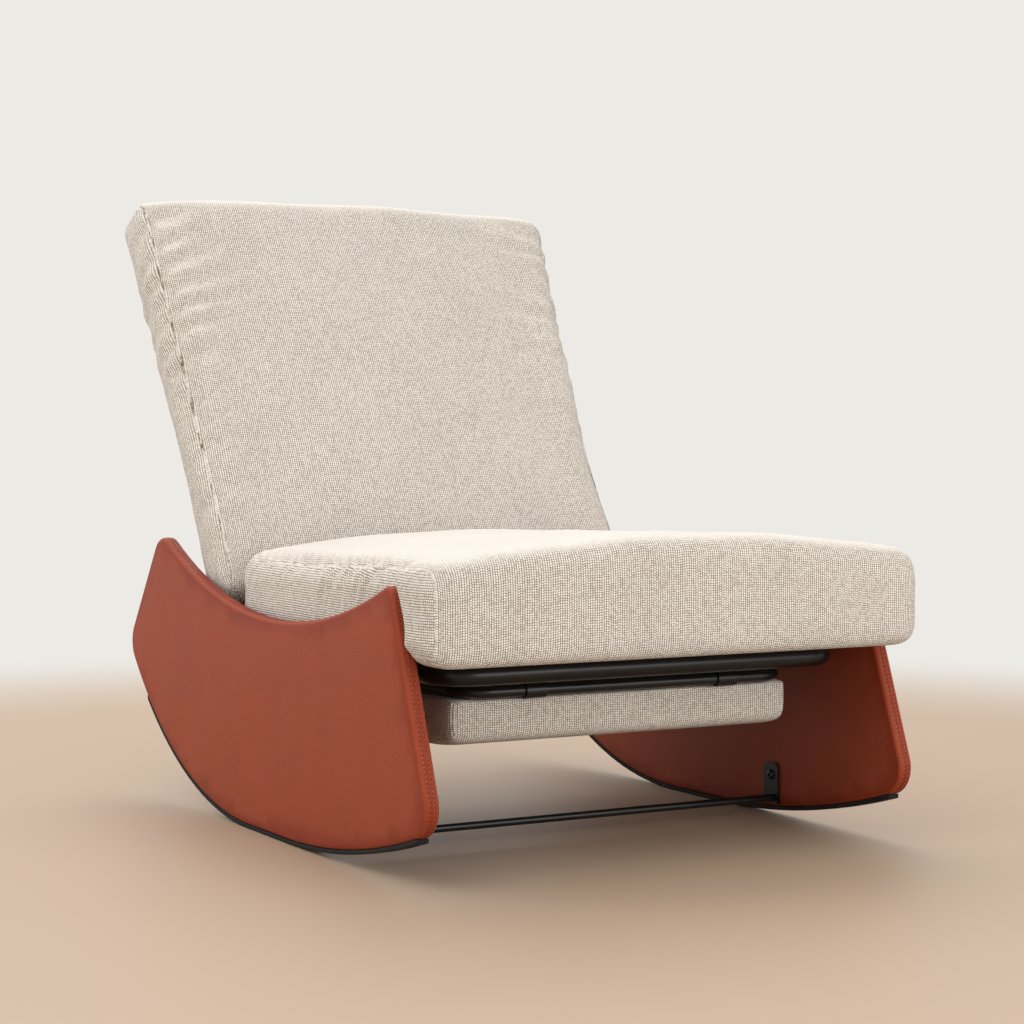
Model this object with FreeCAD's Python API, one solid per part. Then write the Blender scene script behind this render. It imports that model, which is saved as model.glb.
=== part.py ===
import FreeCAD, Part
import math
import os

# Rocker recliner: two leather side boards, a tube seat frame, a reclining back
# and a leg rest that slides out and turns over. Millimetres, +Z up, front towards -Y.
# While it is drawn, Y = 0 lies a little behind the middle of the seat, and the
# finished pieces are then moved so that the origin is under the middle of the chair.

V = FreeCAD.Vector

# Side boards
overall_width = 740.0
board_thickness = 22.0
cover_thickness = 3.0
cover_edge_round = 2.5

# Rocker profile on the floor: front arc, resting flat, rear arc
front_arc_radius = 1430.0
rear_arc_radius = 640.0
flat_front_y = 20.0
flat_length = 122.0
strip_thickness = 6.0
strip_side_inset = 2.0
strip_front_y = -392.0
strip_rear_y = 545.0

# Corners of the board's outline, before rounding
front_foot_y = -431.0
front_peak_y = -323.0
front_peak_z = 374.0
dip_y = 25.0
dip_z = 302.0
rear_peak_y = 484.0
rear_peak_z = 408.0
rear_foot_y = 624.0
front_foot_round = 40.0
front_peak_round = 16.0
rear_peak_round = 40.0
rear_foot_round = 40.0

# Rod between the boards
rod_radius = 5.4
rod_y = -131.0
rod_z = 27.0
rod_plate_width = 35.0
rod_plate_height = 60.0
rod_plate_thickness = 4.0
rod_plate_offset_y = 5.0
rod_plate_below = 8.0
rod_bolt_rise = 33.0

# Bolts that hold the plates to the boards
bolt_radius = 4.0
bolt_head_radius = 7.0
bolt_head_height = 4.0
bolt_depth = 15.0
bolt_clearance = 0.05

# Seat frame
seat_tube_radius = 14.0
tube_wall = 1.5
seat_tube_z = 255.0
seat_tube_side_gap = 50.0
seat_front_tube_y = -335.0
seat_bend_radius = 45.0
seat_bracket_ys = (-195.0, 165.0)
seat_bracket_stub_radius = 9.0
seat_plate_thickness = 4.0
seat_plate_length = 62.0
seat_plate_height = 40.0
seat_plate_drop = 8.0
seat_bolt_spacing = 40.0

# Webbing
strap_thickness = 2.5
seat_strap_width = 45.0
seat_strap_first_y = -240.0
seat_strap_last_y = 210.0
seat_strap_count = 6
back_strap_width = 50.0
back_strap_first = 70.0
back_strap_spacing = 85.0
back_strap_count = 6

# Soft clearances
soft_gap = 0.3
side_gap = 3.0
ear_gap = 3.0

# Seat cushion
seat_front_y = -442.0
seat_side_height = 136.0
seat_crown = 24.0
seat_rear_drop = 20.0
seat_edge_share = 0.28
seat_low_share = 0.20
seat_end_share = 0.22
seat_side_draw = 2.5
seat_ear_overhang = 3.0
seat_ear_depth = 110.0
seat_ear_step = 14.0

# Back hinge
hinge_y = 282.0
hinge_z = 291.0
shaft_radius = 11.0
shaft_overhang = 3.0
bush_wall = 2.0
sleeve_wall = 2.5
sleeve_length = 45.0
hinge_clearance = 0.06
lug_thickness = 8.0
lug_reach = 20.0
disc_thickness = 5.0
disc_clearance = 0.05

# Back cushion, drawn upright and then leaned
back_lean_degrees = 28.7
back_thickness = 90.0
back_height = 703.0
back_shaft_inset = 40.0
back_shaft_gap = 1.0
back_side_gap = 4.0
back_flare_start = 215.0
back_flare = 24.0
back_crown_edge = 8.0
back_crown_middle = 20.0
back_edge_round = 28.0
back_rear_round = 16.0
back_end_round = 28.0
back_side_draw = 4.0
seat_back_gap = 18.0

# Back frame
back_tube_radius = 11.0
back_tube_side_inset = 28.0
back_bend_radius = 60.0
back_frame_below_top = 110.0
hinge_arm_thickness = 6.0
hinge_arm_depth = 27.0
hinge_arm_gap = 2.0

# Leg rest
leg_tube_radius = 8.0
leg_tube_wall = 1.2
leg_tube_side_inset = 51.0
leg_bar_y = -292.0
leg_bend_radius = 40.0
leg_travel = 200.0
crossbar_thickness = 3.0
crossbar_width = 36.0
crossbar_ys = (-15.0, 75.0)
guide_wall = 3.0
guide_width = 34.0
guide_below = 9.0
guide_clearance = 0.06
guide_screw_radius = 2.5
guide_screw_offset = 11.5
guide_screw_depth = 16.0
stop_cap_radius = 12.0
stop_cap_length = 14.0
stop_cap_bore_depth = 10.0
stop_clearance = 0.3

# Leg rest pad
pad_side_overhang = 16.0
pad_depth = 180.0
pad_front_gap = 12.0
pad_thickness = 60.0
pad_crown = 6.0
pad_tube_gap = 1.5
pad_edge_round = 20.0
pad_top_round = 6.0
pad_end_round = 20.0
pad_side_draw = 1.5
pad_board_thickness = 9.0
pad_board_margin = 18.0
clip_side_inset = 99.0
clip_width = 30.0
clip_wall = 3.0
clip_foot_length = 45.0
clip_foot_thickness = 3.0
clip_clearance = 0.06
clip_screw_radius = 2.0
clip_screw_depth = 7.0

# Heads of the small screws
screw_head_extra = 2.0
screw_head_height = 2.2

# Values worked out from the sizes above
half_width = overall_width / 2.0
inner_face = half_width - board_thickness
seat_ear_half_width = half_width + seat_ear_overhang
seat_tube_half_span = inner_face - seat_tube_side_gap
back_tube_half_span = seat_tube_half_span - back_tube_side_inset
leg_tube_half_span = seat_tube_half_span - leg_tube_side_inset
pad_half_width = leg_tube_half_span + pad_side_overhang
clip_x = leg_tube_half_span - clip_side_inset
flat_rear_y = flat_front_y + flat_length
strap_top = seat_tube_z + seat_tube_radius + strap_thickness
rail_under = seat_tube_z - seat_tube_radius
crossbar_under = rail_under - crossbar_thickness
leg_tube_z = crossbar_under - guide_wall - leg_tube_radius
pad_top_z = leg_tube_z - leg_tube_radius - pad_tube_gap
pad_front_y = leg_bar_y + pad_front_gap
bush_outer = shaft_radius + bush_wall
sleeve_outer = bush_outer + sleeve_wall
hinge_drop = sleeve_outer + back_shaft_gap
lean = math.radians(back_lean_degrees)
back_foot_y = hinge_y - back_shaft_inset * math.cos(lean) + hinge_drop * math.sin(lean)
back_foot_z = hinge_z + back_shaft_inset * math.sin(lean) + hinge_drop * math.cos(lean)
seat_rear_y = back_foot_y - seat_back_gap
rail_end_y = hinge_y - lug_reach
upright_depth = back_thickness + soft_gap + strap_thickness + back_tube_radius
lug_inner_x = seat_tube_half_span - lug_thickness / 2.0
seat_strap_spacing = (seat_strap_last_y - seat_strap_first_y) / (seat_strap_count - 1)
seat_edge_round = seat_side_height * seat_edge_share
seat_low_round = seat_side_height * seat_low_share
seat_end_round = seat_side_height * seat_end_share
quarter_steps = (0.0, 30.0, 60.0, 90.0)

pieces = {}


def mirrored(shape):
    return shape.mirror(V(0, 0, 0), V(1, 0, 0))


def both_sides(name, right_shape):
    pieces["right_" + name] = right_shape
    pieces["left_" + name] = mirrored(right_shape)


def box(x0, x1, y0, y1, z0, z1):
    return Part.makeBox(x1 - x0, y1 - y0, z1 - z0, V(x0, y0, z0))


def rod(start, end, radius):
    run = end - start
    return Part.makeCylinder(radius, run.Length, start, run)


def line(a, b):
    return Part.LineSegment(a, b).toShape()


def arc(a, middle, b):
    return Part.Arc(a, middle, b).toShape()


def ring_face(centre, direction, radius, wall):
    outer = Part.Face(Part.Wire(Part.makeCircle(radius, centre, direction)))
    inner = Part.Face(Part.Wire(Part.makeCircle(radius - wall, centre, direction)))
    return outer.cut(inner).Faces[0]


def tube(start, end, radius, wall):
    return ring_face(start, end - start, radius, wall).extrude(end - start)


def bent_tube(start, corner, end, bend, radius, wall):
    # A straight run, a quarter bend and a short run that ends where the bend ends.
    along = (corner - start).normalize()
    across = (end - corner).normalize()
    bend_start = corner - along * bend
    bend_centre = bend_start + across * bend
    axis = along.cross(across)
    straight = tube(start, bend_start, radius, wall)
    elbow = ring_face(bend_start, along, radius, wall).revolve(bend_centre, axis, 90)
    return straight.fuse(elbow).removeSplitter().Solids[0]


# Rocker profile

def floor_profile_z(y, lift):
    # Height of the profile at a place along the chair, raised by lift off the floor.
    if y < flat_front_y:
        radius, centre_y = front_arc_radius, flat_front_y
    elif y > flat_rear_y:
        radius, centre_y = rear_arc_radius, flat_rear_y
    else:
        return lift
    return radius - math.sqrt((radius - lift) ** 2 - (y - centre_y) ** 2)


def profile_point(y, lift):
    return V(0, y, floor_profile_z(y, lift))


def profile_edges(front_y, rear_y, lift):
    # The underside from its rear end to its front end: arc, flat, arc.
    rear_middle = profile_point((rear_y + flat_rear_y) / 2.0, lift)
    front_middle = profile_point((front_y + flat_front_y) / 2.0, lift)
    rear_flat = V(0, flat_rear_y, lift)
    front_flat = V(0, flat_front_y, lift)
    return [
        arc(profile_point(rear_y, lift), rear_middle, rear_flat),
        line(rear_flat, front_flat),
        arc(front_flat, front_middle, profile_point(front_y, lift)),
    ]


# Side boards

def board_outline():
    front_foot = profile_point(front_foot_y, strip_thickness)
    front_peak = V(0, front_peak_y, front_peak_z)
    dip = V(0, dip_y, dip_z)
    rear_peak = V(0, rear_peak_y, rear_peak_z)
    rear_foot = profile_point(rear_foot_y, strip_thickness)
    edges = [line(front_foot, front_peak), arc(front_peak, dip, rear_peak), line(rear_peak, rear_foot)]
    edges += profile_edges(front_foot_y, rear_foot_y, strip_thickness)
    blank = Part.Face(Part.Wire(edges)).extrude(V(board_thickness, 0, 0))
    rounds = [
        (front_foot, front_foot_round),
        (front_peak, front_peak_round),
        (rear_peak, rear_peak_round),
        (rear_foot, rear_foot_round),
    ]
    for corner, radius in rounds:
        middle = corner + V(board_thickness / 2.0, 0, 0)
        edge = min(blank.Edges, key=lambda e: (e.CenterOfMass - middle).Length)
        blank = blank.makeFillet(radius, [edge])
    return min(blank.Faces, key=lambda f: f.CenterOfMass.x)


def cover(outline, inner_x, outer_x, rounded_x):
    # One leather face, with its rim rounded on the side that shows.
    slab = outline.copy()
    slab.translate(V(inner_x, 0, 0))
    slab = slab.extrude(V(outer_x - inner_x, 0, 0))
    rim = min(slab.Faces, key=lambda f: abs(f.CenterOfMass.x - rounded_x))
    return slab.makeFillet(cover_edge_round, rim.Edges)


def side_board(bolt_holes):
    outline = board_outline()
    inner_layer = inner_face + cover_thickness
    outer_layer = half_width - cover_thickness
    middle = V(outer_layer - inner_layer, 0, 0)
    core_face = outline.makeOffset2D(-cover_thickness)
    core_face.translate(V(inner_layer, 0, 0))
    rim_face = outline.copy()
    rim_face.translate(V(inner_layer, 0, 0))
    core = core_face.extrude(middle)
    gusset = rim_face.extrude(middle).cut(core)
    inner = cover(outline, inner_face, inner_layer, inner_face)
    outer = cover(outline, outer_layer, half_width, half_width)
    both_sides("side_core", core.cut(bolt_holes).Solids[0])
    both_sides("side_edge_gusset", gusset.Solids[0])
    both_sides("side_inner_cover", inner.cut(bolt_holes).Solids[0])
    both_sides("side_outer_cover", outer)


def rocker_strip():
    below = profile_edges(strip_front_y, strip_rear_y, 0.0)
    above = profile_edges(strip_front_y, strip_rear_y, strip_thickness)
    front_end = line(profile_point(strip_front_y, 0.0), profile_point(strip_front_y, strip_thickness))
    rear_end = line(profile_point(strip_rear_y, 0.0), profile_point(strip_rear_y, strip_thickness))
    wire = Part.Wire(Part.__sortEdges__(below + above + [front_end, rear_end]))
    strip = Part.Face(wire).extrude(V(board_thickness - 2 * strip_side_inset, 0, 0))
    strip.translate(V(inner_face + strip_side_inset, 0, 0))
    both_sides("rocker_strip", strip)


# Bolts that go from inside the chair into the right board

def board_bolt(y, z, plate_thickness):
    seat = V(inner_face - plate_thickness, y, z)
    head = rod(seat - V(bolt_head_height, 0, 0), seat, bolt_head_radius)
    head = head.makeFillet(bolt_head_height / 2.0, [min(head.Edges, key=lambda e: e.CenterOfMass.x)])
    shank = rod(seat, V(inner_face + bolt_depth, y, z), bolt_radius)
    return head.fuse(shank).removeSplitter().Solids[0]


def bolt_hole(y, z):
    start = V(inner_face - bolt_head_radius, y, z)
    return rod(start, V(inner_face + bolt_depth, y, z), bolt_radius + bolt_clearance)


def group_both_sides(right_shapes):
    return Part.makeCompound(right_shapes + [mirrored(s) for s in right_shapes])


# Rod between the boards

rod_plate_y = rod_y + rod_plate_offset_y
rod_bolt_z = rod_z + rod_bolt_rise


def stretcher():
    plate_x = inner_face - rod_plate_thickness
    low_z = rod_z - rod_plate_below
    half = rod_plate_width / 2.0
    plate = box(plate_x, inner_face, rod_plate_y - half, rod_plate_y + half, low_z, low_z + rod_plate_height)
    corners = [e for e in plate.Edges if e.BoundBox.XLength > rod_plate_thickness / 2.0]
    top_corners = sorted(corners, key=lambda e: e.CenterOfMass.z)[-2:]
    plate = plate.makeFillet(rod_plate_width / 3.0, top_corners)
    both_sides("stretcher_bracket", plate.cut(bolt_hole(rod_plate_y, rod_bolt_z)).Solids[0])
    pieces["stretcher_rod"] = rod(V(-plate_x, rod_y, rod_z), V(plate_x, rod_y, rod_z), rod_radius)
    pieces["stretcher_bolts"] = group_both_sides([board_bolt(rod_plate_y, rod_bolt_z, rod_plate_thickness)])


# Seat frame

seat_plate_z = seat_tube_z - seat_plate_drop
seat_bolt_ys = [y + side * seat_bolt_spacing / 2.0 for y in seat_bracket_ys for side in (-1, 1)]


def seat_frame():
    span = seat_tube_half_span
    corner_x = span - seat_bend_radius
    front_left = V(-corner_x, seat_front_tube_y, seat_tube_z)
    front_right = V(corner_x, seat_front_tube_y, seat_tube_z)
    pieces["seat_front_tube"] = tube(front_left, front_right, seat_tube_radius, tube_wall)
    rail_end = V(span, rail_end_y, seat_tube_z)
    rail_corner = V(span, seat_front_tube_y, seat_tube_z)
    rail = bent_tube(rail_end, rail_corner, front_right, seat_bend_radius, seat_tube_radius, tube_wall)
    both_sides("seat_rail", rail)


def seat_brackets():
    plate_x = inner_face - seat_plate_thickness
    rail = rod(V(seat_tube_half_span, 2 * seat_front_tube_y, seat_tube_z),
               V(seat_tube_half_span, 2 * rail_end_y, seat_tube_z), seat_tube_radius)
    holes = Part.makeCompound([bolt_hole(y, seat_plate_z) for y in seat_bolt_ys])
    low_z = seat_plate_z - seat_plate_height / 2.0
    for place, y in zip(("front", "rear"), seat_bracket_ys):
        half = seat_plate_length / 2.0
        plate = box(plate_x, inner_face, y - half, y + half, low_z, low_z + seat_plate_height)
        stub = rod(V(seat_tube_half_span, y, seat_tube_z), V(plate_x, y, seat_tube_z), seat_bracket_stub_radius)
        bracket = plate.cut(holes).fuse(stub.cut(rail)).removeSplitter()
        both_sides(place + "_seat_bracket", bracket.Solids[0])
    bolts = [board_bolt(y, seat_plate_z, seat_plate_thickness) for y in seat_bolt_ys]
    pieces["seat_bracket_bolts"] = group_both_sides(bolts)


# Webbing: a flat band that runs over two round tubes and wraps half round each

def strap_face(half_span, radius, at):
    reach = radius + strap_thickness
    edges = [
        arc(at(half_span, -reach), at(half_span + reach, 0), at(half_span, reach)),
        line(at(half_span, reach), at(-half_span, reach)),
        arc(at(-half_span, reach), at(-half_span - reach, 0), at(-half_span, -reach)),
        line(at(-half_span, -reach), at(-half_span, -radius)),
        arc(at(-half_span, -radius), at(-half_span - radius, 0), at(-half_span, radius)),
        line(at(-half_span, radius), at(half_span, radius)),
        arc(at(half_span, radius), at(half_span + radius, 0), at(half_span, -radius)),
        line(at(half_span, -radius), at(half_span, -reach)),
    ]
    return Part.Face(Part.Wire(edges))


def seat_webbing():
    straps = []
    for i in range(seat_strap_count):
        front = seat_strap_first_y + i * seat_strap_spacing - seat_strap_width / 2.0
        face = strap_face(seat_tube_half_span, seat_tube_radius, lambda a, b: V(a, front, seat_tube_z + b))
        straps.append(face.extrude(V(0, seat_strap_width, 0)))
    pieces["seat_webbing"] = Part.makeCompound(straps)


# Cushions: crowned sections joined end to end

def cushion_section(at, half, low, high, crown, low_round, high_round, draw):
    # A flat low side, drawn-in flanks and a crowned high side, with rounded corners.
    bow = math.sqrt(0.5)
    top = high - high_round
    foot = low + low_round
    low_in = half - low_round
    high_in = half - high_round
    low_mid = (low_in + low_round * bow, foot - low_round * bow)
    high_mid = (high_in + high_round * bow, top + high_round * bow)
    flank = (foot + top) / 2.0
    return Part.Wire([
        line(at(-low_in, low), at(low_in, low)),
        arc(at(low_in, low), at(*low_mid), at(half, foot)),
        arc(at(half, foot), at(half - draw, flank), at(half, top)),
        arc(at(half, top), at(*high_mid), at(high_in, high)),
        arc(at(high_in, high), at(0, high + crown), at(-high_in, high)),
        arc(at(-high_in, high), at(-high_mid[0], high_mid[1]), at(-half, top)),
        arc(at(-half, top), at(draw - half, flank), at(-half, foot)),
        arc(at(-half, foot), at(-low_mid[0], low_mid[1]), at(-low_in, low)),
    ])


def rounded_stations(start, end, end_round, round_start, round_end):
    # Places along a cushion, with how far its sections draw in at each rounded end.
    stations = []
    if round_start:
        for turn in quarter_steps:
            swing = math.radians(turn)
            draw_in = end_round * (1 - math.sin(swing))
            stations.append((start + end_round * (1 - math.cos(swing)), draw_in))
    else:
        stations.append((start, 0.0))
    if round_end:
        for turn in reversed(quarter_steps):
            swing = math.radians(turn)
            draw_in = end_round * (1 - math.sin(swing))
            stations.append((end - end_round * (1 - math.cos(swing)), draw_in))
    else:
        stations.append((end, 0.0))
    return stations


def seat_section(y, half, draw_in):
    # Narrow and wide sections lie on one crown, so that the ears run on from the seat.
    low = strap_top + soft_gap
    fall = seat_rear_drop * (y - seat_front_y) / (seat_rear_y - seat_front_y)
    rise = seat_crown * (half / seat_ear_half_width) ** 2
    edge = low + seat_side_height + seat_crown - fall - rise
    return cushion_section(
        lambda a, b: V(a, y, b), half - draw_in, low + draw_in / 2.0, edge - draw_in,
        rise, seat_low_round, seat_edge_round, seat_side_draw)


def front_edge_y(z):
    # Where the sloping front edge of the boards stands at a height.
    foot_z = floor_profile_z(front_foot_y, strip_thickness)
    share = (z - foot_z) / (front_peak_z - foot_z)
    return front_foot_y + share * (front_peak_y - front_foot_y)


def seat_cushion():
    main_half = inner_face - side_gap
    ear_rear_y = seat_front_y + seat_ear_depth
    ears = rounded_stations(seat_front_y, ear_rear_y, seat_end_round, True, False)
    middle = rounded_stations(ear_rear_y + seat_ear_step, seat_rear_y, seat_end_round, False, True)
    wires = [seat_section(y, seat_ear_half_width, draw_in) for y, draw_in in ears]
    wires += [seat_section(y, main_half, draw_in) for y, draw_in in middle]
    cushion = Part.makeLoft(wires, True, True)
    low_z = strap_top - seat_low_round
    high_z = front_peak_z + seat_crown + seat_side_height
    # The ears are cut back along the boards' front edge.
    cut_face = Part.Face(Part.makePolygon([
        V(0, front_edge_y(low_z) - ear_gap, low_z),
        V(0, front_edge_y(high_z) - ear_gap, high_z),
        V(0, seat_rear_y, high_z),
        V(0, seat_rear_y, low_z),
        V(0, front_edge_y(low_z) - ear_gap, low_z),
    ]))
    wedge = cut_face.extrude(V(overall_width, 0, 0))
    wedge.translate(V(main_half + soft_gap, 0, 0))
    pieces["seat_cushion"] = cushion.cut(wedge).cut(mirrored(wedge)).Solids[0]


# Back hinge

def back_hinge():
    shaft_half = seat_tube_half_span + lug_thickness / 2.0 + shaft_overhang
    shaft_left = V(-shaft_half, hinge_y, hinge_z)
    shaft_right = V(shaft_half, hinge_y, hinge_z)
    pieces["rear_cross_tube"] = tube(shaft_left, shaft_right, shaft_radius, tube_wall)
    lug_outer_x = lug_inner_x + lug_thickness
    plate = box(lug_inner_x, lug_outer_x, rail_end_y, hinge_y, rail_under, hinge_z)
    eye = rod(V(lug_inner_x, hinge_y, hinge_z), V(lug_outer_x, hinge_y, hinge_z), sleeve_outer)
    shaft = rod(shaft_left, shaft_right, shaft_radius)
    both_sides("hinge_lug", plate.fuse(eye).removeSplitter().cut(shaft).Solids[0])
    disc_start = V(lug_inner_x - disc_thickness, hinge_y, hinge_z)
    disc = rod(disc_start, V(lug_inner_x, hinge_y, hinge_z), sleeve_outer)
    pieces["friction_discs"] = group_both_sides([disc.cut(shaft).Solids[0]])


# The back is drawn upright: Y is depth behind its front face, Z is height above its foot.

def lean_back(shape):
    shape.rotate(V(0, 0, 0), V(1, 0, 0), -back_lean_degrees)
    shape.translate(V(0, back_foot_y, back_foot_z))
    return shape


def hinge_arms():
    sleeve_end = lug_inner_x - disc_thickness - disc_clearance
    sleeve_start = V(sleeve_end - sleeve_length, back_shaft_inset, -hinge_drop)
    sleeve_stop = V(sleeve_end, back_shaft_inset, -hinge_drop)
    sleeve = rod(sleeve_start, sleeve_stop, sleeve_outer)
    bore = rod(sleeve_start, sleeve_stop, bush_outer)
    half = hinge_arm_thickness / 2.0
    plate = box(back_tube_half_span - half, back_tube_half_span + half, back_shaft_inset,
                upright_depth + back_tube_radius, -hinge_arm_gap - hinge_arm_depth, -hinge_arm_gap)
    arm = plate.fuse(sleeve).removeSplitter().cut(bore)
    both_sides("hinge_arm", lean_back(arm.Solids[0]))
    shaft = rod(sleeve_start, sleeve_stop, shaft_radius + hinge_clearance)
    pieces["hinge_bushes"] = group_both_sides([lean_back(bore.cut(shaft).Solids[0])])


def back_frame():
    span = back_tube_half_span
    top = back_height - back_frame_below_top
    bar_end = V(span - back_bend_radius, upright_depth, top)
    corner = V(span, upright_depth, top)
    foot = V(span, upright_depth, -hinge_arm_gap)
    upright = bent_tube(foot, corner, bar_end, back_bend_radius, back_tube_radius, tube_wall)
    both_sides("back_upright", lean_back(upright))
    other_end = V(-bar_end.x, bar_end.y, bar_end.z)
    pieces["back_top_tube"] = lean_back(tube(other_end, bar_end, back_tube_radius, tube_wall))
    straps = []
    for i in range(back_strap_count):
        low = back_strap_first + i * back_strap_spacing - back_strap_width / 2.0
        face = strap_face(span, back_tube_radius, lambda a, b: V(a, upright_depth - b, low))
        straps.append(lean_back(face.extrude(V(0, 0, back_strap_width))))
    pieces["back_webbing"] = Part.makeCompound(straps)


def back_cushion():
    # The low part stands between the boards, and above them the cushion widens.
    stations = rounded_stations(0.0, back_height, back_end_round, True, True)
    between = [(back_flare_start, 0.0), ((back_flare_start + back_height) / 2.0, 0.0)]
    stations[len(quarter_steps):len(quarter_steps)] = between
    wires = []
    for height, draw_in in stations:
        widening = max(height - back_flare_start, 0.0) / (back_height - back_flare_start)
        half = inner_face - back_side_gap + back_flare * widening
        swell = math.sin(math.pi * height / back_height)
        crown = back_crown_edge + swell * (back_crown_middle - back_crown_edge)
        wires.append(cushion_section(
            lambda a, b: V(a, back_thickness - b, height), half - draw_in, 0.0, back_thickness - draw_in,
            crown, back_rear_round, back_edge_round, back_side_draw))
    pieces["back_cushion"] = lean_back(Part.makeLoft(wires, True, True))


# Leg rest

guide_xs = (-leg_tube_half_span, leg_tube_half_span)


def screw_down(x, y, seat_z, radius, depth):
    head = rod(V(x, y, seat_z), V(x, y, seat_z + screw_head_height), radius + screw_head_extra)
    shank = rod(V(x, y, seat_z - depth), V(x, y, seat_z), radius)
    return head.fuse(shank).removeSplitter().Solids[0]


def leg_rest_guides():
    reach = seat_tube_half_span + seat_tube_radius
    half = crossbar_width / 2.0
    screws = []
    for y in crossbar_ys:
        for x in guide_xs:
            for side in (-1, 1):
                place = (x + side * guide_screw_offset, y)
                screws.append(screw_down(*place, rail_under, guide_screw_radius, guide_screw_depth))
    holes = Part.makeCompound(screws)
    bars = [box(-reach, reach, y - half, y + half, crossbar_under, rail_under) for y in crossbar_ys]
    pieces["leg_rest_crossbars"] = Part.makeCompound([bar.cut(holes).Solids[0] for bar in bars])
    low_z = leg_tube_z - leg_tube_radius - guide_below
    blocks = []
    for y in crossbar_ys:
        x0 = leg_tube_half_span - guide_width / 2.0
        block = box(x0, x0 + guide_width, y - half, y + half, low_z, crossbar_under)
        block = block.makeFillet(guide_below / 3.0, [e for e in block.Edges if e.CenterOfMass.z < leg_tube_z])
        start = V(leg_tube_half_span, y - crossbar_width, leg_tube_z)
        bore = rod(start, start + V(0, 2 * crossbar_width, 0), leg_tube_radius + guide_clearance)
        blocks.append(block.cut(bore).cut(holes).Solids[0])
    pieces["right_guide_blocks"] = Part.makeCompound(blocks)
    pieces["left_guide_blocks"] = Part.makeCompound([mirrored(b) for b in blocks])
    pieces["guide_block_screws"] = Part.makeCompound(screws)


def leg_rest_frame():
    span = leg_tube_half_span
    cap_front_y = crossbar_ys[-1] + crossbar_width / 2.0 + leg_travel + stop_clearance
    arm_end = V(span, cap_front_y + stop_cap_bore_depth, leg_tube_z)
    corner = V(span, leg_bar_y, leg_tube_z)
    bar_end = V(span - leg_bend_radius, leg_bar_y, leg_tube_z)
    arm = bent_tube(arm_end, corner, bar_end, leg_bend_radius, leg_tube_radius, leg_tube_wall)
    both_sides("leg_rest_arm", arm)
    other_end = V(-bar_end.x, leg_bar_y, leg_tube_z)
    pieces["leg_rest_front_bar"] = tube(other_end, bar_end, leg_tube_radius, leg_tube_wall)
    cap_front = V(span, cap_front_y, leg_tube_z)
    cap = rod(cap_front, cap_front + V(0, stop_cap_length, 0), stop_cap_radius)
    cap = cap.cut(rod(cap_front, arm_end, leg_tube_radius))
    pieces["leg_rest_stop_caps"] = group_both_sides([cap.Solids[0]])


def leg_rest_pad():
    middle_y = pad_front_y + pad_depth / 2.0
    half_depth = pad_depth / 2.0
    wires = []
    for x, draw_in in rounded_stations(-pad_half_width, pad_half_width, pad_end_round, True, True):
        wires.append(cushion_section(
            lambda a, b: V(x, middle_y + a, pad_top_z - b), half_depth - draw_in * 0.5, 0.0,
            pad_thickness - draw_in * 0.5, pad_crown, pad_top_round, pad_edge_round, pad_side_draw))
    board_half_x = pad_half_width - pad_end_round - pad_board_margin
    board_half_y = half_depth - pad_board_margin
    board = box(-board_half_x, board_half_x, middle_y - board_half_y, middle_y + board_half_y,
                pad_top_z - pad_board_thickness, pad_top_z)
    foot_rear_y = leg_bar_y + clip_foot_length
    foot_top = pad_top_z + clip_foot_thickness
    screw_y = (foot_rear_y + middle_y - board_half_y) / 2.0
    screws = []
    clips = []
    for x in (-clip_x, clip_x):
        left = V(x - clip_width / 2.0, leg_bar_y, leg_tube_z)
        right = V(x + clip_width / 2.0, leg_bar_y, leg_tube_z)
        eye = rod(left, right, leg_tube_radius + clip_wall)
        foot = box(left.x, right.x, leg_bar_y, foot_rear_y, pad_top_z, foot_top)
        bore = rod(left, right, leg_tube_radius + clip_clearance)
        pair = [screw_down(x + side * clip_width / 4.0, screw_y, foot_top, clip_screw_radius, clip_screw_depth)
                for side in (-1, 1)]
        clip = eye.fuse(foot).removeSplitter().cut(bore).cut(Part.makeCompound(pair))
        clips.append(clip.Solids[0])
        screws += pair
    pieces["pad_cushion"] = Part.makeLoft(wires, True, True).cut(board).Solids[0]
    pieces["pad_board"] = board.cut(Part.makeCompound(screws)).Solids[0]
    pieces["pad_clips"] = Part.makeCompound(clips)
    pieces["pad_clip_screws"] = Part.makeCompound(screws)


# Every piece in turn

bolt_holes = Part.makeCompound(
    [bolt_hole(y, seat_plate_z) for y in seat_bolt_ys] + [bolt_hole(rod_plate_y, rod_bolt_z)])
side_board(bolt_holes)
rocker_strip()
stretcher()
seat_frame()
seat_brackets()
seat_webbing()
seat_cushion()
back_hinge()
hinge_arms()
back_frame()
back_cushion()
leg_rest_guides()
leg_rest_frame()
leg_rest_pad()

# The origin goes on the floor under the middle of the whole chair.
boxes = [shape.optimalBoundingBox() for shape in pieces.values()]
middle_y = (min(b.YMin for b in boxes) + max(b.YMax for b in boxes)) / 2.0
os.makedirs("parts", exist_ok=True)
for name, shape in pieces.items():
    shape.translate(V(0, -middle_y, 0))
    shape.exportStep("parts/" + name + ".step")
print("pieces", len(pieces), "moved along Y by", round(-middle_y, 3))
print("back hinge", round(hinge_y - middle_y, 3), hinge_z)
print("leg rest bar", round(leg_bar_y - middle_y, 3), leg_tube_z)
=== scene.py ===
# %% [markdown]
# # A rocker recliner in leather and woven cloth
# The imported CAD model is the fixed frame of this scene: every piece made here is in metres, in its place.
# What is hard in the real chair, such as its tubes, stays as the CAD has it and gets a finish.
# What is soft, such as leather, cushions and straps, is modelled again here and takes the place of its solid.

# %% Load the frame
import math
import bmesh
import bpy
import numpy as np
from mathutils import Matrix, Vector


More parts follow.
